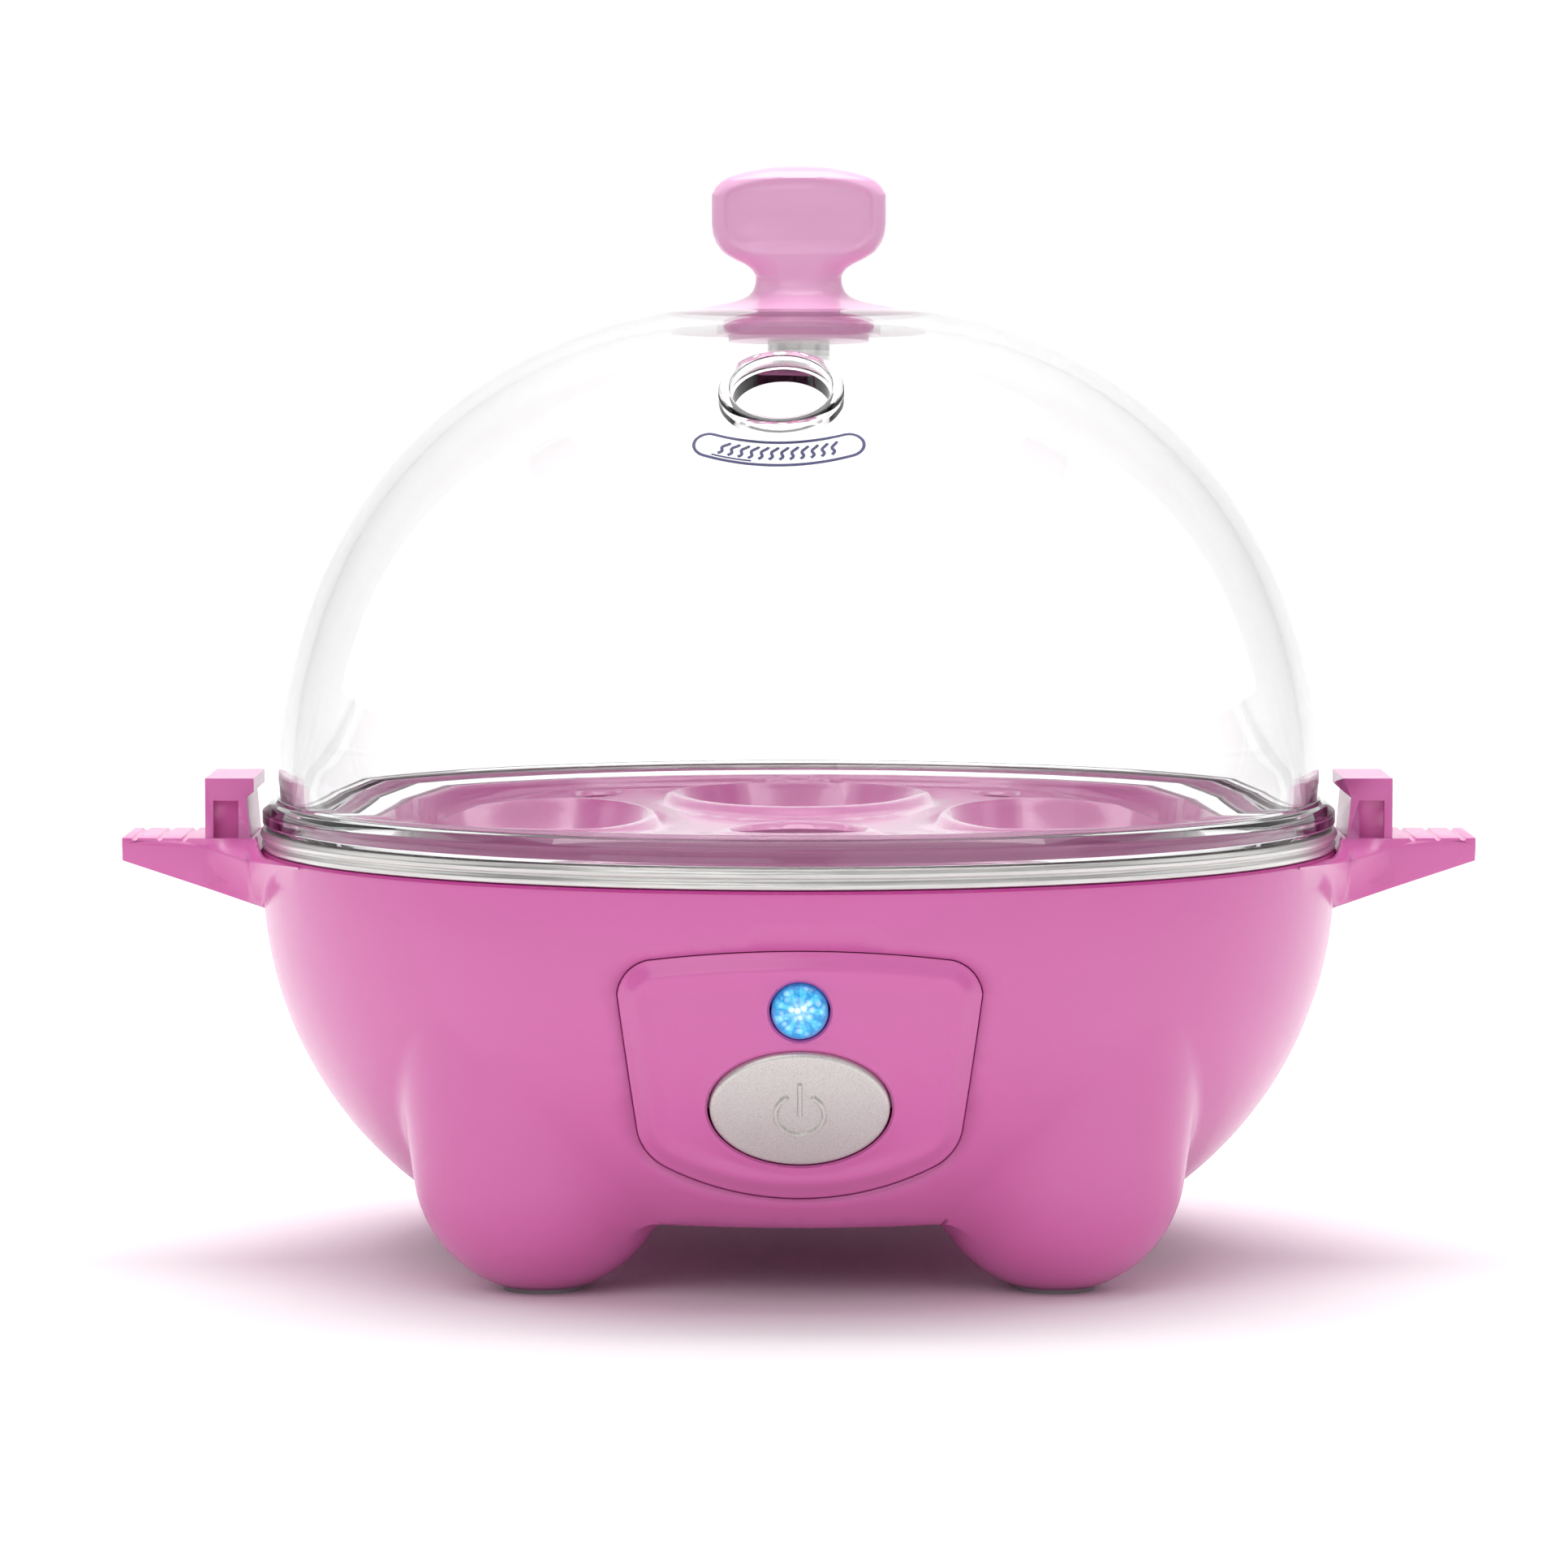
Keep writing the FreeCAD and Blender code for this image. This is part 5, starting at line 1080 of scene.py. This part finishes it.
def round_the_axis(name, pattern, count, pitch, height, turn, skip, finish):
    """
    Copies of a pattern piece on a circle about Z, made with Geometry Nodes. skip leaves out
    the copy with that number, and -1 leaves out none.
    """
    tree, given, result = tree_with(name + "_rule", [
        ("Pattern", "NodeSocketObject"), ("Count", "NodeSocketInt"),
        ("Pitch radius", "NodeSocketFloat"), ("Height", "NodeSocketFloat"),
        ("First turn", "NodeSocketFloat"), ("Skip", "NodeSocketInt"),
        ("Finish", "NodeSocketMaterial")])
    add = tree.nodes.new
    ring, shift, info = (add("GeometryNodeMeshCircle"), add("GeometryNodeTransform"),
                         add("GeometryNodeObjectInfo"))
    index, same, drop = (add("GeometryNodeInputIndex"), add("FunctionNodeCompare"),
                         add("GeometryNodeDeleteGeometry"))
    same.data_type, same.operation = "INT", "EQUAL"
    copies, real, paint = (add("GeometryNodeInstanceOnPoints"), add("GeometryNodeRealizeInstances"),
                           add("GeometryNodeSetMaterial"))
    lift, spin, facing = (add("ShaderNodeCombineXYZ"), add("ShaderNodeCombineXYZ"),
                          add("ShaderNodeCombineXYZ"))
    sums, share, total = (add("ShaderNodeMath") for _ in range(3))
    for node, operation in ((share, "DIVIDE"), (sums, "MULTIPLY"), (total, "ADD")):
        node.operation = operation
    wire_up(tree, given.outputs["Count"], ring.inputs["Vertices"])
    wire_up(tree, given.outputs["Pitch radius"], ring.inputs["Radius"])
    wire_up(tree, ring.outputs["Mesh"], shift.inputs["Geometry"])
    wire_up(tree, given.outputs["Height"], lift.inputs["Z"])
    wire_up(tree, lift.outputs[0], shift.inputs["Translation"])
    wire_up(tree, given.outputs["First turn"], spin.inputs["Z"])
    wire_up(tree, spin.outputs[0], shift.inputs["Rotation"])
    wire_up(tree, index.outputs[0], same.inputs[2])
    wire_up(tree, given.outputs["Skip"], same.inputs[3])
    share.inputs[0].default_value = 2 * math.pi
    wire_up(tree, given.outputs["Count"], share.inputs[1])
    wire_up(tree, index.outputs[0], sums.inputs[0])
    wire_up(tree, share.outputs[0], sums.inputs[1])
    wire_up(tree, sums.outputs[0], total.inputs[0])
    wire_up(tree, given.outputs["First turn"], total.inputs[1])
    wire_up(tree, total.outputs[0], facing.inputs["Z"])
    keep = add("GeometryNodeStoreNamedAttribute")
    keep.data_type, keep.domain = "FLOAT_VECTOR", "POINT"
    keep.inputs["Name"].default_value = "facing"
    wire_up(tree, shift.outputs[0], keep.inputs["Geometry"])
    wire_up(tree, facing.outputs[0], keep.inputs["Value"])
    wire_up(tree, keep.outputs[0], drop.inputs["Geometry"])
    wire_up(tree, same.outputs[0], drop.inputs["Selection"])
    read = add("GeometryNodeInputNamedAttribute")
    read.data_type = "FLOAT_VECTOR"
    read.inputs["Name"].default_value = "facing"
    wire_up(tree, given.outputs["Pattern"], info.inputs["Object"])
    wire_up(tree, drop.outputs[0], copies.inputs["Points"])
    wire_up(tree, info.outputs["Geometry"], copies.inputs["Instance"])
    wire_up(tree, read.outputs[0], copies.inputs["Rotation"])
    wire_up(tree, copies.outputs[0], real.inputs["Geometry"])
    wire_up(tree, real.outputs[0], paint.inputs["Geometry"])
    wire_up(tree, given.outputs["Finish"], paint.inputs["Material"])
    wire_up(tree, paint.outputs[0], result.inputs["Geometry"])
    piece = bpy.data.objects.new(name, bpy.data.meshes.new(name))
    bpy.context.scene.collection.objects.link(piece)
    rule = piece.modifiers.new("copies", "NODES")
    rule.node_group = tree
    names = {item.name: item.identifier for item in tree.interface.items_tree
             if item.in_out == "INPUT"}
    values = {"Pattern": pattern, "Count": count, "Pitch radius": pitch * MM,
              "Height": height * MM, "First turn": turn, "Skip": skip, "Finish": finish}
    for label, value in values.items():
        rule[names[label]] = value
    as_plain(piece)
    pattern_mesh = pattern.data
    bpy.data.objects.remove(pattern)
    bpy.data.meshes.remove(pattern_mesh)
    piece.data.shade_smooth()
    piece.data.set_sharp_from_angle(angle=math.radians(35))
    return piece


def screw_pattern(name, head, thick, shank, reach, washer=0.0):
    """A pan-head screw with a cross recess, its head downwards at z = 0 to thick."""
    outline = circle(head, count=40)
    arm, slot = 0.62 * head, 0.16 * head
    cross = [(arm, -slot), (arm, slot), (slot, slot), (slot, arm), (-slot, arm), (-slot, slot),
             (-arm, slot), (-arm, -slot), (-slot, -slot), (-slot, -arm), (slot, -arm),
             (slot, -slot)]
    cross = trace(cross, 0.25)
    rings = [moved_in(outline, gap) for gap in (0.08, 0.22, 0.45, 0.8)]
    rings += [moved_in(cross, -0.1), moved_in(cross, 0.08)]

    def face(u, v):
        places = np.column_stack([u, v])
        inwards = gap_to(places, outline)
        drop = 0.55 * thick * (1 - np.sqrt(np.clip(1 - (1 - inwards / head) ** 2, 0, 1)))
        recess = 0.6 * thick * smooth(gap_to(places, cross) * np.where(within(places, cross),
                                                                      1, -1), -0.05, 0.08)
        return np.column_stack([u, v, drop + recess])

    def back(u, v):
        return np.column_stack([u, v, np.full(len(u), thick)])

    verts, faces = plate(outline, [], rings, 0.5, face, back)
    body = turned_body([(0.0, thick - 0.2), (shank, thick - 0.2), (shank, reach - shank),
                        (0.3 * shank, reach), (0.0, reach)], 24)
    threads = turned_body(soften([(shank - 0.1, thick + 0.4), (shank + washer, thick + 0.5),
                                  (shank + washer, thick + 0.8), (shank - 0.1, thick + 0.9)]),
                          24)
    verts, faces = joined((verts, faces), body, threads)
    return make_piece(name, verts, faces, 30)


COVER_PITCH, PAN_PITCH = 44.2, 67.2


class EGGCOOKER_OT_screws(bpy.types.Operator):
    """Builds the cross-head screws of the bottom cover and of the pan"""
    bl_idname = "eggcooker.screws"
    bl_label = "Screws"

    def execute(self, context):
        finish = finish_for("zinc_steel")
        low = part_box("cover_screws")[0].z / MM
        pattern = screw_pattern("cover_pattern", 3.0, 1.1, 1.2, 9.3, 0.02)
        cover = round_the_axis("cover_screw_set", pattern, 4, COVER_PITCH, low, 0.0, 1,
                               finish)
        settle(cover, "base", finish, "zinc_steel", "cover_screws")
        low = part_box("plate_screws")[0].z / MM
        pattern = screw_pattern("pan_pattern", 2.2, 1.8, 1.4, 13.2, 0.03)
        pan = round_the_axis("pan_screw_set", pattern, 3, PAN_PITCH, low, math.pi / 2, -1,
                             finish)
        settle(pan, "base", finish, "zinc_steel", "plate_screws")
        return {"FINISHED"}


# ------------------------------------------------------------------ dome
def dome_profile(inset, steps=48):
    """(radius, height) places up the dome's side and over its crown, moved inwards."""
    side, lean = 73.7 - inset, math.radians(23.7)
    places = [(70.9 - 73.7 + side * math.cos(a), 62.8 + side * math.sin(a))
              for a in np.linspace(0, lean, 14)]
    top = CROWN_ARC - inset
    places += [(CROWN_OFFSET + top * math.cos(a), CROWN_HEIGHT + top * math.sin(a))
               for a in np.linspace(lean, math.pi / 2, steps)[1:]]
    return places + [(0.0, CROWN_HEIGHT + top)]


def on_crown(across, down, height, lean):
    """A place on the dome's front, across and down from a lean on the lid's own front line."""
    angle = lean + np.asarray(down) / CROWN_ARC
    reach = CROWN_OFFSET + (CROWN_ARC + height) * np.sin(angle)
    turn = np.asarray(across) / (CROWN_OFFSET + CROWN_ARC * np.sin(angle)) - VENT_TURN
    return np.column_stack([reach * np.sin(turn), -reach * np.cos(turn),
                            CROWN_HEIGHT + (CROWN_ARC + height) * np.cos(angle)])


def vent_places(verts):
    """Moves a body from the origin, its axis up, to the steam vent."""
    reach = CROWN_OFFSET + CROWN_ARC * math.sin(VENT_LEAN)
    centre = Vector((-reach * math.sin(VENT_TURN), -reach * math.cos(VENT_TURN),
                     CROWN_HEIGHT + CROWN_ARC * math.cos(VENT_LEAN)))
    square = Matrix.Rotation(-VENT_TURN, 3, "Z") @ Matrix.Rotation(VENT_LEAN, 3, "X")
    return np.array([list(centre + square @ Vector(v)) for v in verts])


VENT_HOLE, SCREW_BORE = 6.3, 2.2
VENT_COLLAR = [(7.0, -1.0), (8.2, -1.0), (8.2, 1.6, 0.7), (6.6, 1.6, 0.3), (6.6, 0.5)]


class EGGCOOKER_OT_dome(bpy.types.Operator):
    """Builds the clear dome with its flange and its collared steam vent"""
    bl_idname = "eggcooker.dome"
    bl_label = "Dome"

    def execute(self, context):
        sizes = settings().lid
        wall = sizes.wall / MM
        skirt = soften([(68.9, 58.42, 0.3), (72.4, 58.42, 0.3), (73.0, 59.0, 0.5),
                        (73.0, 60.6, 0.5), (72.0, 61.6, 0.8), (71.2, 61.85, 0.4),
                        (70.9, 62.6, 0.3)], 4)
        inner = dome_profile(wall)[::-1]
        profile = [tuple(p) for p in skirt] + dome_profile(0.0)[1:] + inner[:-1]
        profile.append((68.9, 62.8))
        verts, faces = turned_body(profile, sizes.steps)
        dome = make_piece("dome_shell", verts, faces, 40)
        collar, collar_faces = turned_body(soften(VENT_COLLAR, 6), 96)
        cut_by(dome, "UNION", vent_places(collar), collar_faces)
        hole, hole_faces = turned_body([(0.0, -6.0), (VENT_HOLE, -6.0), (VENT_HOLE, 8.0),
                                        (0.0, 8.0)], 96)
        cut_by(dome, "DIFFERENCE", vent_places(hole), hole_faces)
        bore, bore_faces = turned_body([(0.0, 120.0), (SCREW_BORE, 120.0),
                                        (SCREW_BORE, 135.0), (0.0, 135.0)], 32)
        cut_by(dome, "DIFFERENCE", bore, bore_faces)
        dome.data.shade_smooth()
        dome.data.set_sharp_from_angle(angle=math.radians(40))
        settle(dome, "lid", finish_for("clear_plastic"), "clear_plastic", "dome_lid")
        return {"FINISHED"}


MARK_LEAN = math.radians(46.3)
MARK_CURVE, MARK_HALF_SPAN = 27.0, math.radians(19.6)


def mark_place(turn, rise, height):
    """A place on the curved band of the mark: turn along it and rise towards the vent."""
    radius = MARK_CURVE - np.asarray(rise)
    across = radius * np.sin(turn)
    down = radius * np.cos(turn) - MARK_CURVE
    return on_crown(across, down, height, MARK_LEAN)


def ribbon(turns, rises, width, closed=False):
    """A thin printed line through places on the mark's band."""
    line = np.column_stack([np.asarray(turns) * MARK_CURVE, rises])
    if closed:
        run = np.roll(line, -1, axis=0) - np.roll(line, 1, axis=0)
    else:
        run = np.gradient(line, axis=0)
    run /= np.hypot(*run.T)[:, None]
    side = np.column_stack([-run[:, 1], run[:, 0]]) * width / 2
    count = len(line)
    rails = [mark_place((line + s * side)[:, 0] / MARK_CURVE, (line + s * side)[:, 1], lift)
             for s, lift in ((-1, 0.015), (1, 0.015), (1, 0.075), (-1, 0.075))]
    verts = np.vstack(rails)
    faces = []
    for i in range(count if closed else count - 1):
        j = (i + 1) % count
        for rail in range(4):
            after = (rail + 1) % 4
            faces.append([rail * count + i, rail * count + j, after * count + j,
                          after * count + i])
    if not closed:
        faces.append([3 * count, 2 * count, count, 0])
        faces.append([count - 1, 2 * count - 1, 3 * count - 1, 4 * count - 1])
    return verts, faces


class EGGCOOKER_OT_mark(bpy.types.Operator):
    """Prints the generic steam mark under the vent"""
    bl_idname = "eggcooker.mark"
    bl_label = "Steam mark"

    def execute(self, context):
        sizes = settings().lid
        line, half = sizes.mark_line / MM, sizes.mark_half / MM
        reach = MARK_HALF_SPAN
        along = np.linspace(-reach, reach, 40)
        cap = np.linspace(-math.pi / 2, math.pi / 2, 18)[1:-1]
        turns = np.concatenate([along, reach + half * np.cos(cap) / MARK_CURVE, along[::-1],
                                -reach - half * np.cos(cap) / MARK_CURVE])
        rises = np.concatenate([np.full(40, -half), half * np.sin(cap), np.full(40, half),
                                -half * np.sin(cap)])
        parts = [ribbon(turns, rises, line, True)]
        wave = np.linspace(0, 1, 22)
        for number in range(12):
            start = -0.78 * reach + 1.56 * reach * number / 11
            sway = 0.24 * np.sin(wave * 2.6 * math.pi) + 0.9 * (wave - 0.5)
            parts.append(ribbon(start + sway / MARK_CURVE, -1.0 + 2.1 * wave, line))
        parts.append(ribbon(np.linspace(-0.9, -0.35, 14) * reach, np.full(14, -1.42), 0.24))
        verts, faces = joined(*parts)
        mark = make_piece("steam_mark_print", verts, faces, 60)
        settle(mark, "lid", finish_for("printed_ink"), "clear_plastic")
        return {"FINISHED"}


# ------------------------------------------------------------------ knob
KNOB_FOOT, KNOB_NECK, KNOB_TOP = 19.1, 5.85, 147.8
NECK_HEIGHT = 132.4


def knob_section(height):
    """Half width, half depth and squareness of the knob at a height."""
    dome_top = CROWN_HEIGHT + CROWN_ARC
    wide = np.interp(height, [NECK_HEIGHT, 132.9, 133.6, 134.1, 134.6, 135.1, 135.6, 136.2, 137.3,
                              138.4, 140.0, 143.9, 145.0, 145.7, 146.2, 146.9, 147.4, 147.68,
                              147.8],
                     [5.85, 5.85, 6.25, 6.8, 7.6, 8.7, 9.6, 10.4, 11.2,
                      11.65, 11.85, 11.85, 11.2, 10.5, 9.7, 7.6, 5.0, 3.0,
                      0.0])
    deep = np.interp(height, [NECK_HEIGHT, 134.5, 144.6, 146.0, 147.0, 147.5, 147.8],
                     [5.45, 5.4, 5.1, 4.5, 3.2, 1.9, 0.0])
    square = np.interp(height, [NECK_HEIGHT, 135.5, 138.0, 147.8], [2.0, 2.5, 3.4, 3.2])
    if height < NECK_HEIGHT:
        part = (NECK_HEIGHT - height) / (NECK_HEIGHT - dome_top + 0.35)
        flare = 1 - math.sqrt(max(0.0, 1 - min(1.0, part) ** 2))
        low = min(1.0, part)
        round_wide = KNOB_NECK + (KNOB_FOOT - KNOB_NECK) * (0.42 * flare + 0.58 * low ** 6)
        return round_wide, round_wide - 0.4 * (1 - low), 2.0
    return float(wide), float(deep), float(square)


class EGGCOOKER_OT_knob(bpy.types.Operator):
    """Builds the paddle knob with its thumb dishes and spreading foot"""
    bl_idname = "eggcooker.knob"
    bl_label = "Lid knob"

    def execute(self, context):
        sizes = settings().lid
        dish = sizes.dish / MM
        dome_top = CROWN_HEIGHT + CROWN_ARC
        around = 160
        heights = list(np.linspace(dome_top - 0.3, dome_top + 1.0, 10))
        heights += list(np.linspace(dome_top + 1.2, 134.0, 16))
        heights += list(np.linspace(134.3, 145.0, 46))
        heights += list(145.0 + 2.79 * np.sin(np.linspace(0.08, math.pi / 2, 20)))
        turns = np.linspace(0, 2 * math.pi, around, endpoint=False)
        rows = []
        for height in heights:
            wide, deep, square = knob_section(height)
            cosine, sine = np.cos(turns), np.sin(turns)
            x = wide * np.sign(cosine) * np.abs(cosine) ** (2 / square)
            y = deep * np.sign(sine) * np.abs(sine) ** (2 / square)
            rows.append(np.column_stack([x, y, np.full(around, height)]))
        verts = np.vstack(rows)
        silhouette = np.array([(knob_section(z)[0], z) for z in np.linspace(134, KNOB_TOP, 70)])
        silhouette = np.vstack([silhouette, silhouette[::-1] * [-1, 1]])
        front = verts[:, [0, 2]]
        inwards = gap_to(front, silhouette) * np.where(within(front, silhouette), 1, 0)
        dished = smooth(inwards, 1.55, 2.35) * smooth(front[:, 1], 135.6, 137.6)
        bowl = 0.35 * smooth(inwards, 2.0, 7.0)
        verts[:, 1] -= np.sign(verts[:, 1]) * dished * (dish + bowl)
        faces = [[row * around + i, row * around + (i + 1) % around,
                  (row + 1) * around + (i + 1) % around, (row + 1) * around + i]
                 for row in range(len(heights) - 1) for i in range(around)]
        base, crest = len(verts), len(verts) + 1
        verts = np.vstack([verts, [[0, 0, dome_top - 0.3], [0, 0, KNOB_TOP]]])
        last = (len(heights) - 1) * around
        faces += [[base, (i + 1) % around, i] for i in range(around)]
        faces += [[crest, last + i, last + (i + 1) % around] for i in range(around)]
        outside = np.hypot(verts[:, 0], verts[:, 1])
        drape = CROWN_HEIGHT + np.sqrt(CROWN_ARC ** 2 - np.maximum(outside - CROWN_OFFSET, 0) ** 2)
        skirt = smooth(verts[:, 2], dome_top + 1.2, dome_top - 0.3)
        verts[:, 2] += (drape - dome_top) * skirt + 0.3 * smooth(verts[:, 2], dome_top - 0.2,
                                                                dome_top - 0.3)
        knob = make_piece("lid_knob_grip", verts, faces, 50)
        settle(knob, "lid", finish_for("knob_pink"), "knob_pink", "lid_knob")
        return {"FINISHED"}


# ------------------------------------------------------------------ pieces kept as they are
class EGGCOOKER_OT_inner_parts(bpy.types.Operator):
    """Gives the pieces that keep their own shape their finishes"""
    bl_idname = "eggcooker.inner_parts"
    bl_label = "Inner parts"

    def execute(self, context):
        for name, node in frame["nodes"].items():
            if node.hide_render:
                continue
            finish = finish_for(slot_of(name))
            if not node.material_slots:
                node.data.materials.append(finish)
            for slot in node.material_slots:
                slot.link = "OBJECT"
                slot.material = finish
        return {"FINISHED"}


# ------------------------------------------------------------------ stage
CAMERA_PLACE, CAMERA_TILT, CAMERA_LENS = (-0.002, -0.910, 0.129), 4.1, 153.5


class EGGCOOKER_OT_stage(bpy.types.Operator):
    """Lays the pale floor and sets the studio light and the camera"""
    bl_idname = "eggcooker.stage"
    bl_label = "Stage"

    def execute(self, context):
        self.lay_floor()
        self.light_it(context.scene)
        self.set_camera(context.scene)
        return {"FINISHED"}

    @staticmethod
    def lay_floor():
        """A sheet that sweeps up behind the object."""
        profile = [(-2500.0, 0.0), (-400.0, 0.0), (900.0, 0.0)]
        profile += [(900 + 700 * math.sin(a), 700 - 700 * math.cos(a))
                    for a in np.linspace(0, math.pi / 2, 24)[1:]]
        profile += [(1600.0, 3000.0)]
        verts = [(x, y, z) for y, z in profile for x in (-3000.0, 3000.0)]
        faces = [[2 * i, 2 * i + 1, 2 * i + 3, 2 * i + 2] for i in range(len(profile) - 1)]
        mesh = bpy.data.meshes.new("studio_sweep")
        mesh.from_pydata((np.array(verts) * MM).tolist(), [], faces)
        mesh.shade_smooth()
        floor = bpy.data.objects.new("studio_sweep", mesh)
        bpy.context.scene.collection.objects.link(floor)
        paper = Finish("studio_paper", (0.93, 0.93, 0.93), 0.85)
        fibre = paper.noise(600.0, 3.0)
        paper.set("Roughness", 0.8 + fibre * 0.1)
        mesh.materials.append(paper.material)

    @staticmethod
    def light_it(scene):
        """Soft boxes round the object and one on the sweep behind it."""
        world = bpy.data.worlds.new("studio")
        world.use_nodes = True
        world.node_tree.nodes["Background"].inputs["Color"].default_value = (1, 1, 1, 1)
        world.node_tree.nodes["Background"].inputs["Strength"].default_value = 0.17
        scene.world = world
        ahead, behind = Vector((0, 0, 0.07)), Vector((0, 1.5, 0.35))
        boxes = [("key_box", (-0.55, -1.15, 0.85), 1.1, 5.8, ahead),
                 ("fill_box", (0.75, -1.05, 0.65), 1.5, 3.6, ahead),
                 ("left_strip", (-1.05, 0.25, 0.65), 0.9, 2.4, ahead),
                 ("right_strip", (1.05, 0.25, 0.65), 0.9, 2.4, ahead),
                 ("top_box", (0.0, 0.15, 1.25), 1.4, 10.0, ahead),
                 ("back_box", (0.0, 0.45, 1.5), 1.2, 17.0, behind)]
        for name, place, size, power, target in boxes:
            lamp = bpy.data.lights.new(name, "AREA")
            lamp.shape = "SQUARE"
            lamp.size = size
            lamp.energy = power
            holder = bpy.data.objects.new(name, lamp)
            holder.location = place
            aim = target - Vector(place)
            holder.rotation_euler = aim.to_track_quat("-Z", "Y").to_euler()
            scene.collection.objects.link(holder)

    @staticmethod
    def set_camera(scene):
        """A long lens a little above the lid, looking slightly down."""
        lens = bpy.data.cameras.new("product_camera")
        lens.sensor_width = 36.0
        lens.lens = CAMERA_LENS
        lens.clip_start = 0.05
        lens.clip_end = 20.0
        camera = bpy.data.objects.new("product_camera", lens)
        camera.location = CAMERA_PLACE
        camera.rotation_euler = (math.radians(90 - CAMERA_TILT), 0.0, 0.0)
        scene.collection.objects.link(camera)
        scene.camera = camera
        scene.view_settings.view_transform = "Standard"


# ------------------------------------------------------------------ sidebar and start
OPERATORS = (EGGCOOKER_OT_housing, EGGCOOKER_OT_panel, EGGCOOKER_OT_button, EGGCOOKER_OT_spring,
             EGGCOOKER_OT_lens, EGGCOOKER_OT_pan, EGGCOOKER_OT_tray, EGGCOOKER_OT_screws,
             EGGCOOKER_OT_dome, EGGCOOKER_OT_mark, EGGCOOKER_OT_knob, EGGCOOKER_OT_inner_parts,
             EGGCOOKER_OT_stage)


class EGGCOOKER_PT_sidebar(bpy.types.Panel):
    """Lists the settings and the pieces"""
    bl_idname = "EGGCOOKER_PT_sidebar"
    bl_label = "Egg Cooker"
    bl_space_type = "VIEW_3D"
    bl_region_type = "UI"
    bl_category = "Egg Cooker"

    def draw(self, context):
        cooker = context.scene.egg_cooker
        for title, group in (("Colours", cooker.colours), ("Panel", cooker.panel),
                             ("Lid", cooker.lid), ("Tray", cooker.tray)):
            box = self.layout.box()
            box.label(text=title)
            for name in group.__annotations__:
                box.prop(group, name)
        column = self.layout.column(align=True)
        for operator in OPERATORS:
            column.operator(operator.bl_idname)


CLASSES = (CookerColours, PanelSizes, LidSizes, TraySizes, CookerSettings, *OPERATORS,
           EGGCOOKER_PT_sidebar)


def register():
    for thing in CLASSES:
        bpy.utils.register_class(thing)
    bpy.types.Scene.egg_cooker = PointerProperty(type=CookerSettings)


def unregister():
    del bpy.types.Scene.egg_cooker
    for thing in reversed(CLASSES):
        bpy.utils.unregister_class(thing)


def main():
    """Builds every piece and the stage."""
    register()
    for operator in OPERATORS:
        family, action = operator.bl_idname.split(".")
        getattr(getattr(bpy.ops, family), action)()
    bpy.context.view_layer.update()


if __name__ == "__main__":
    main()
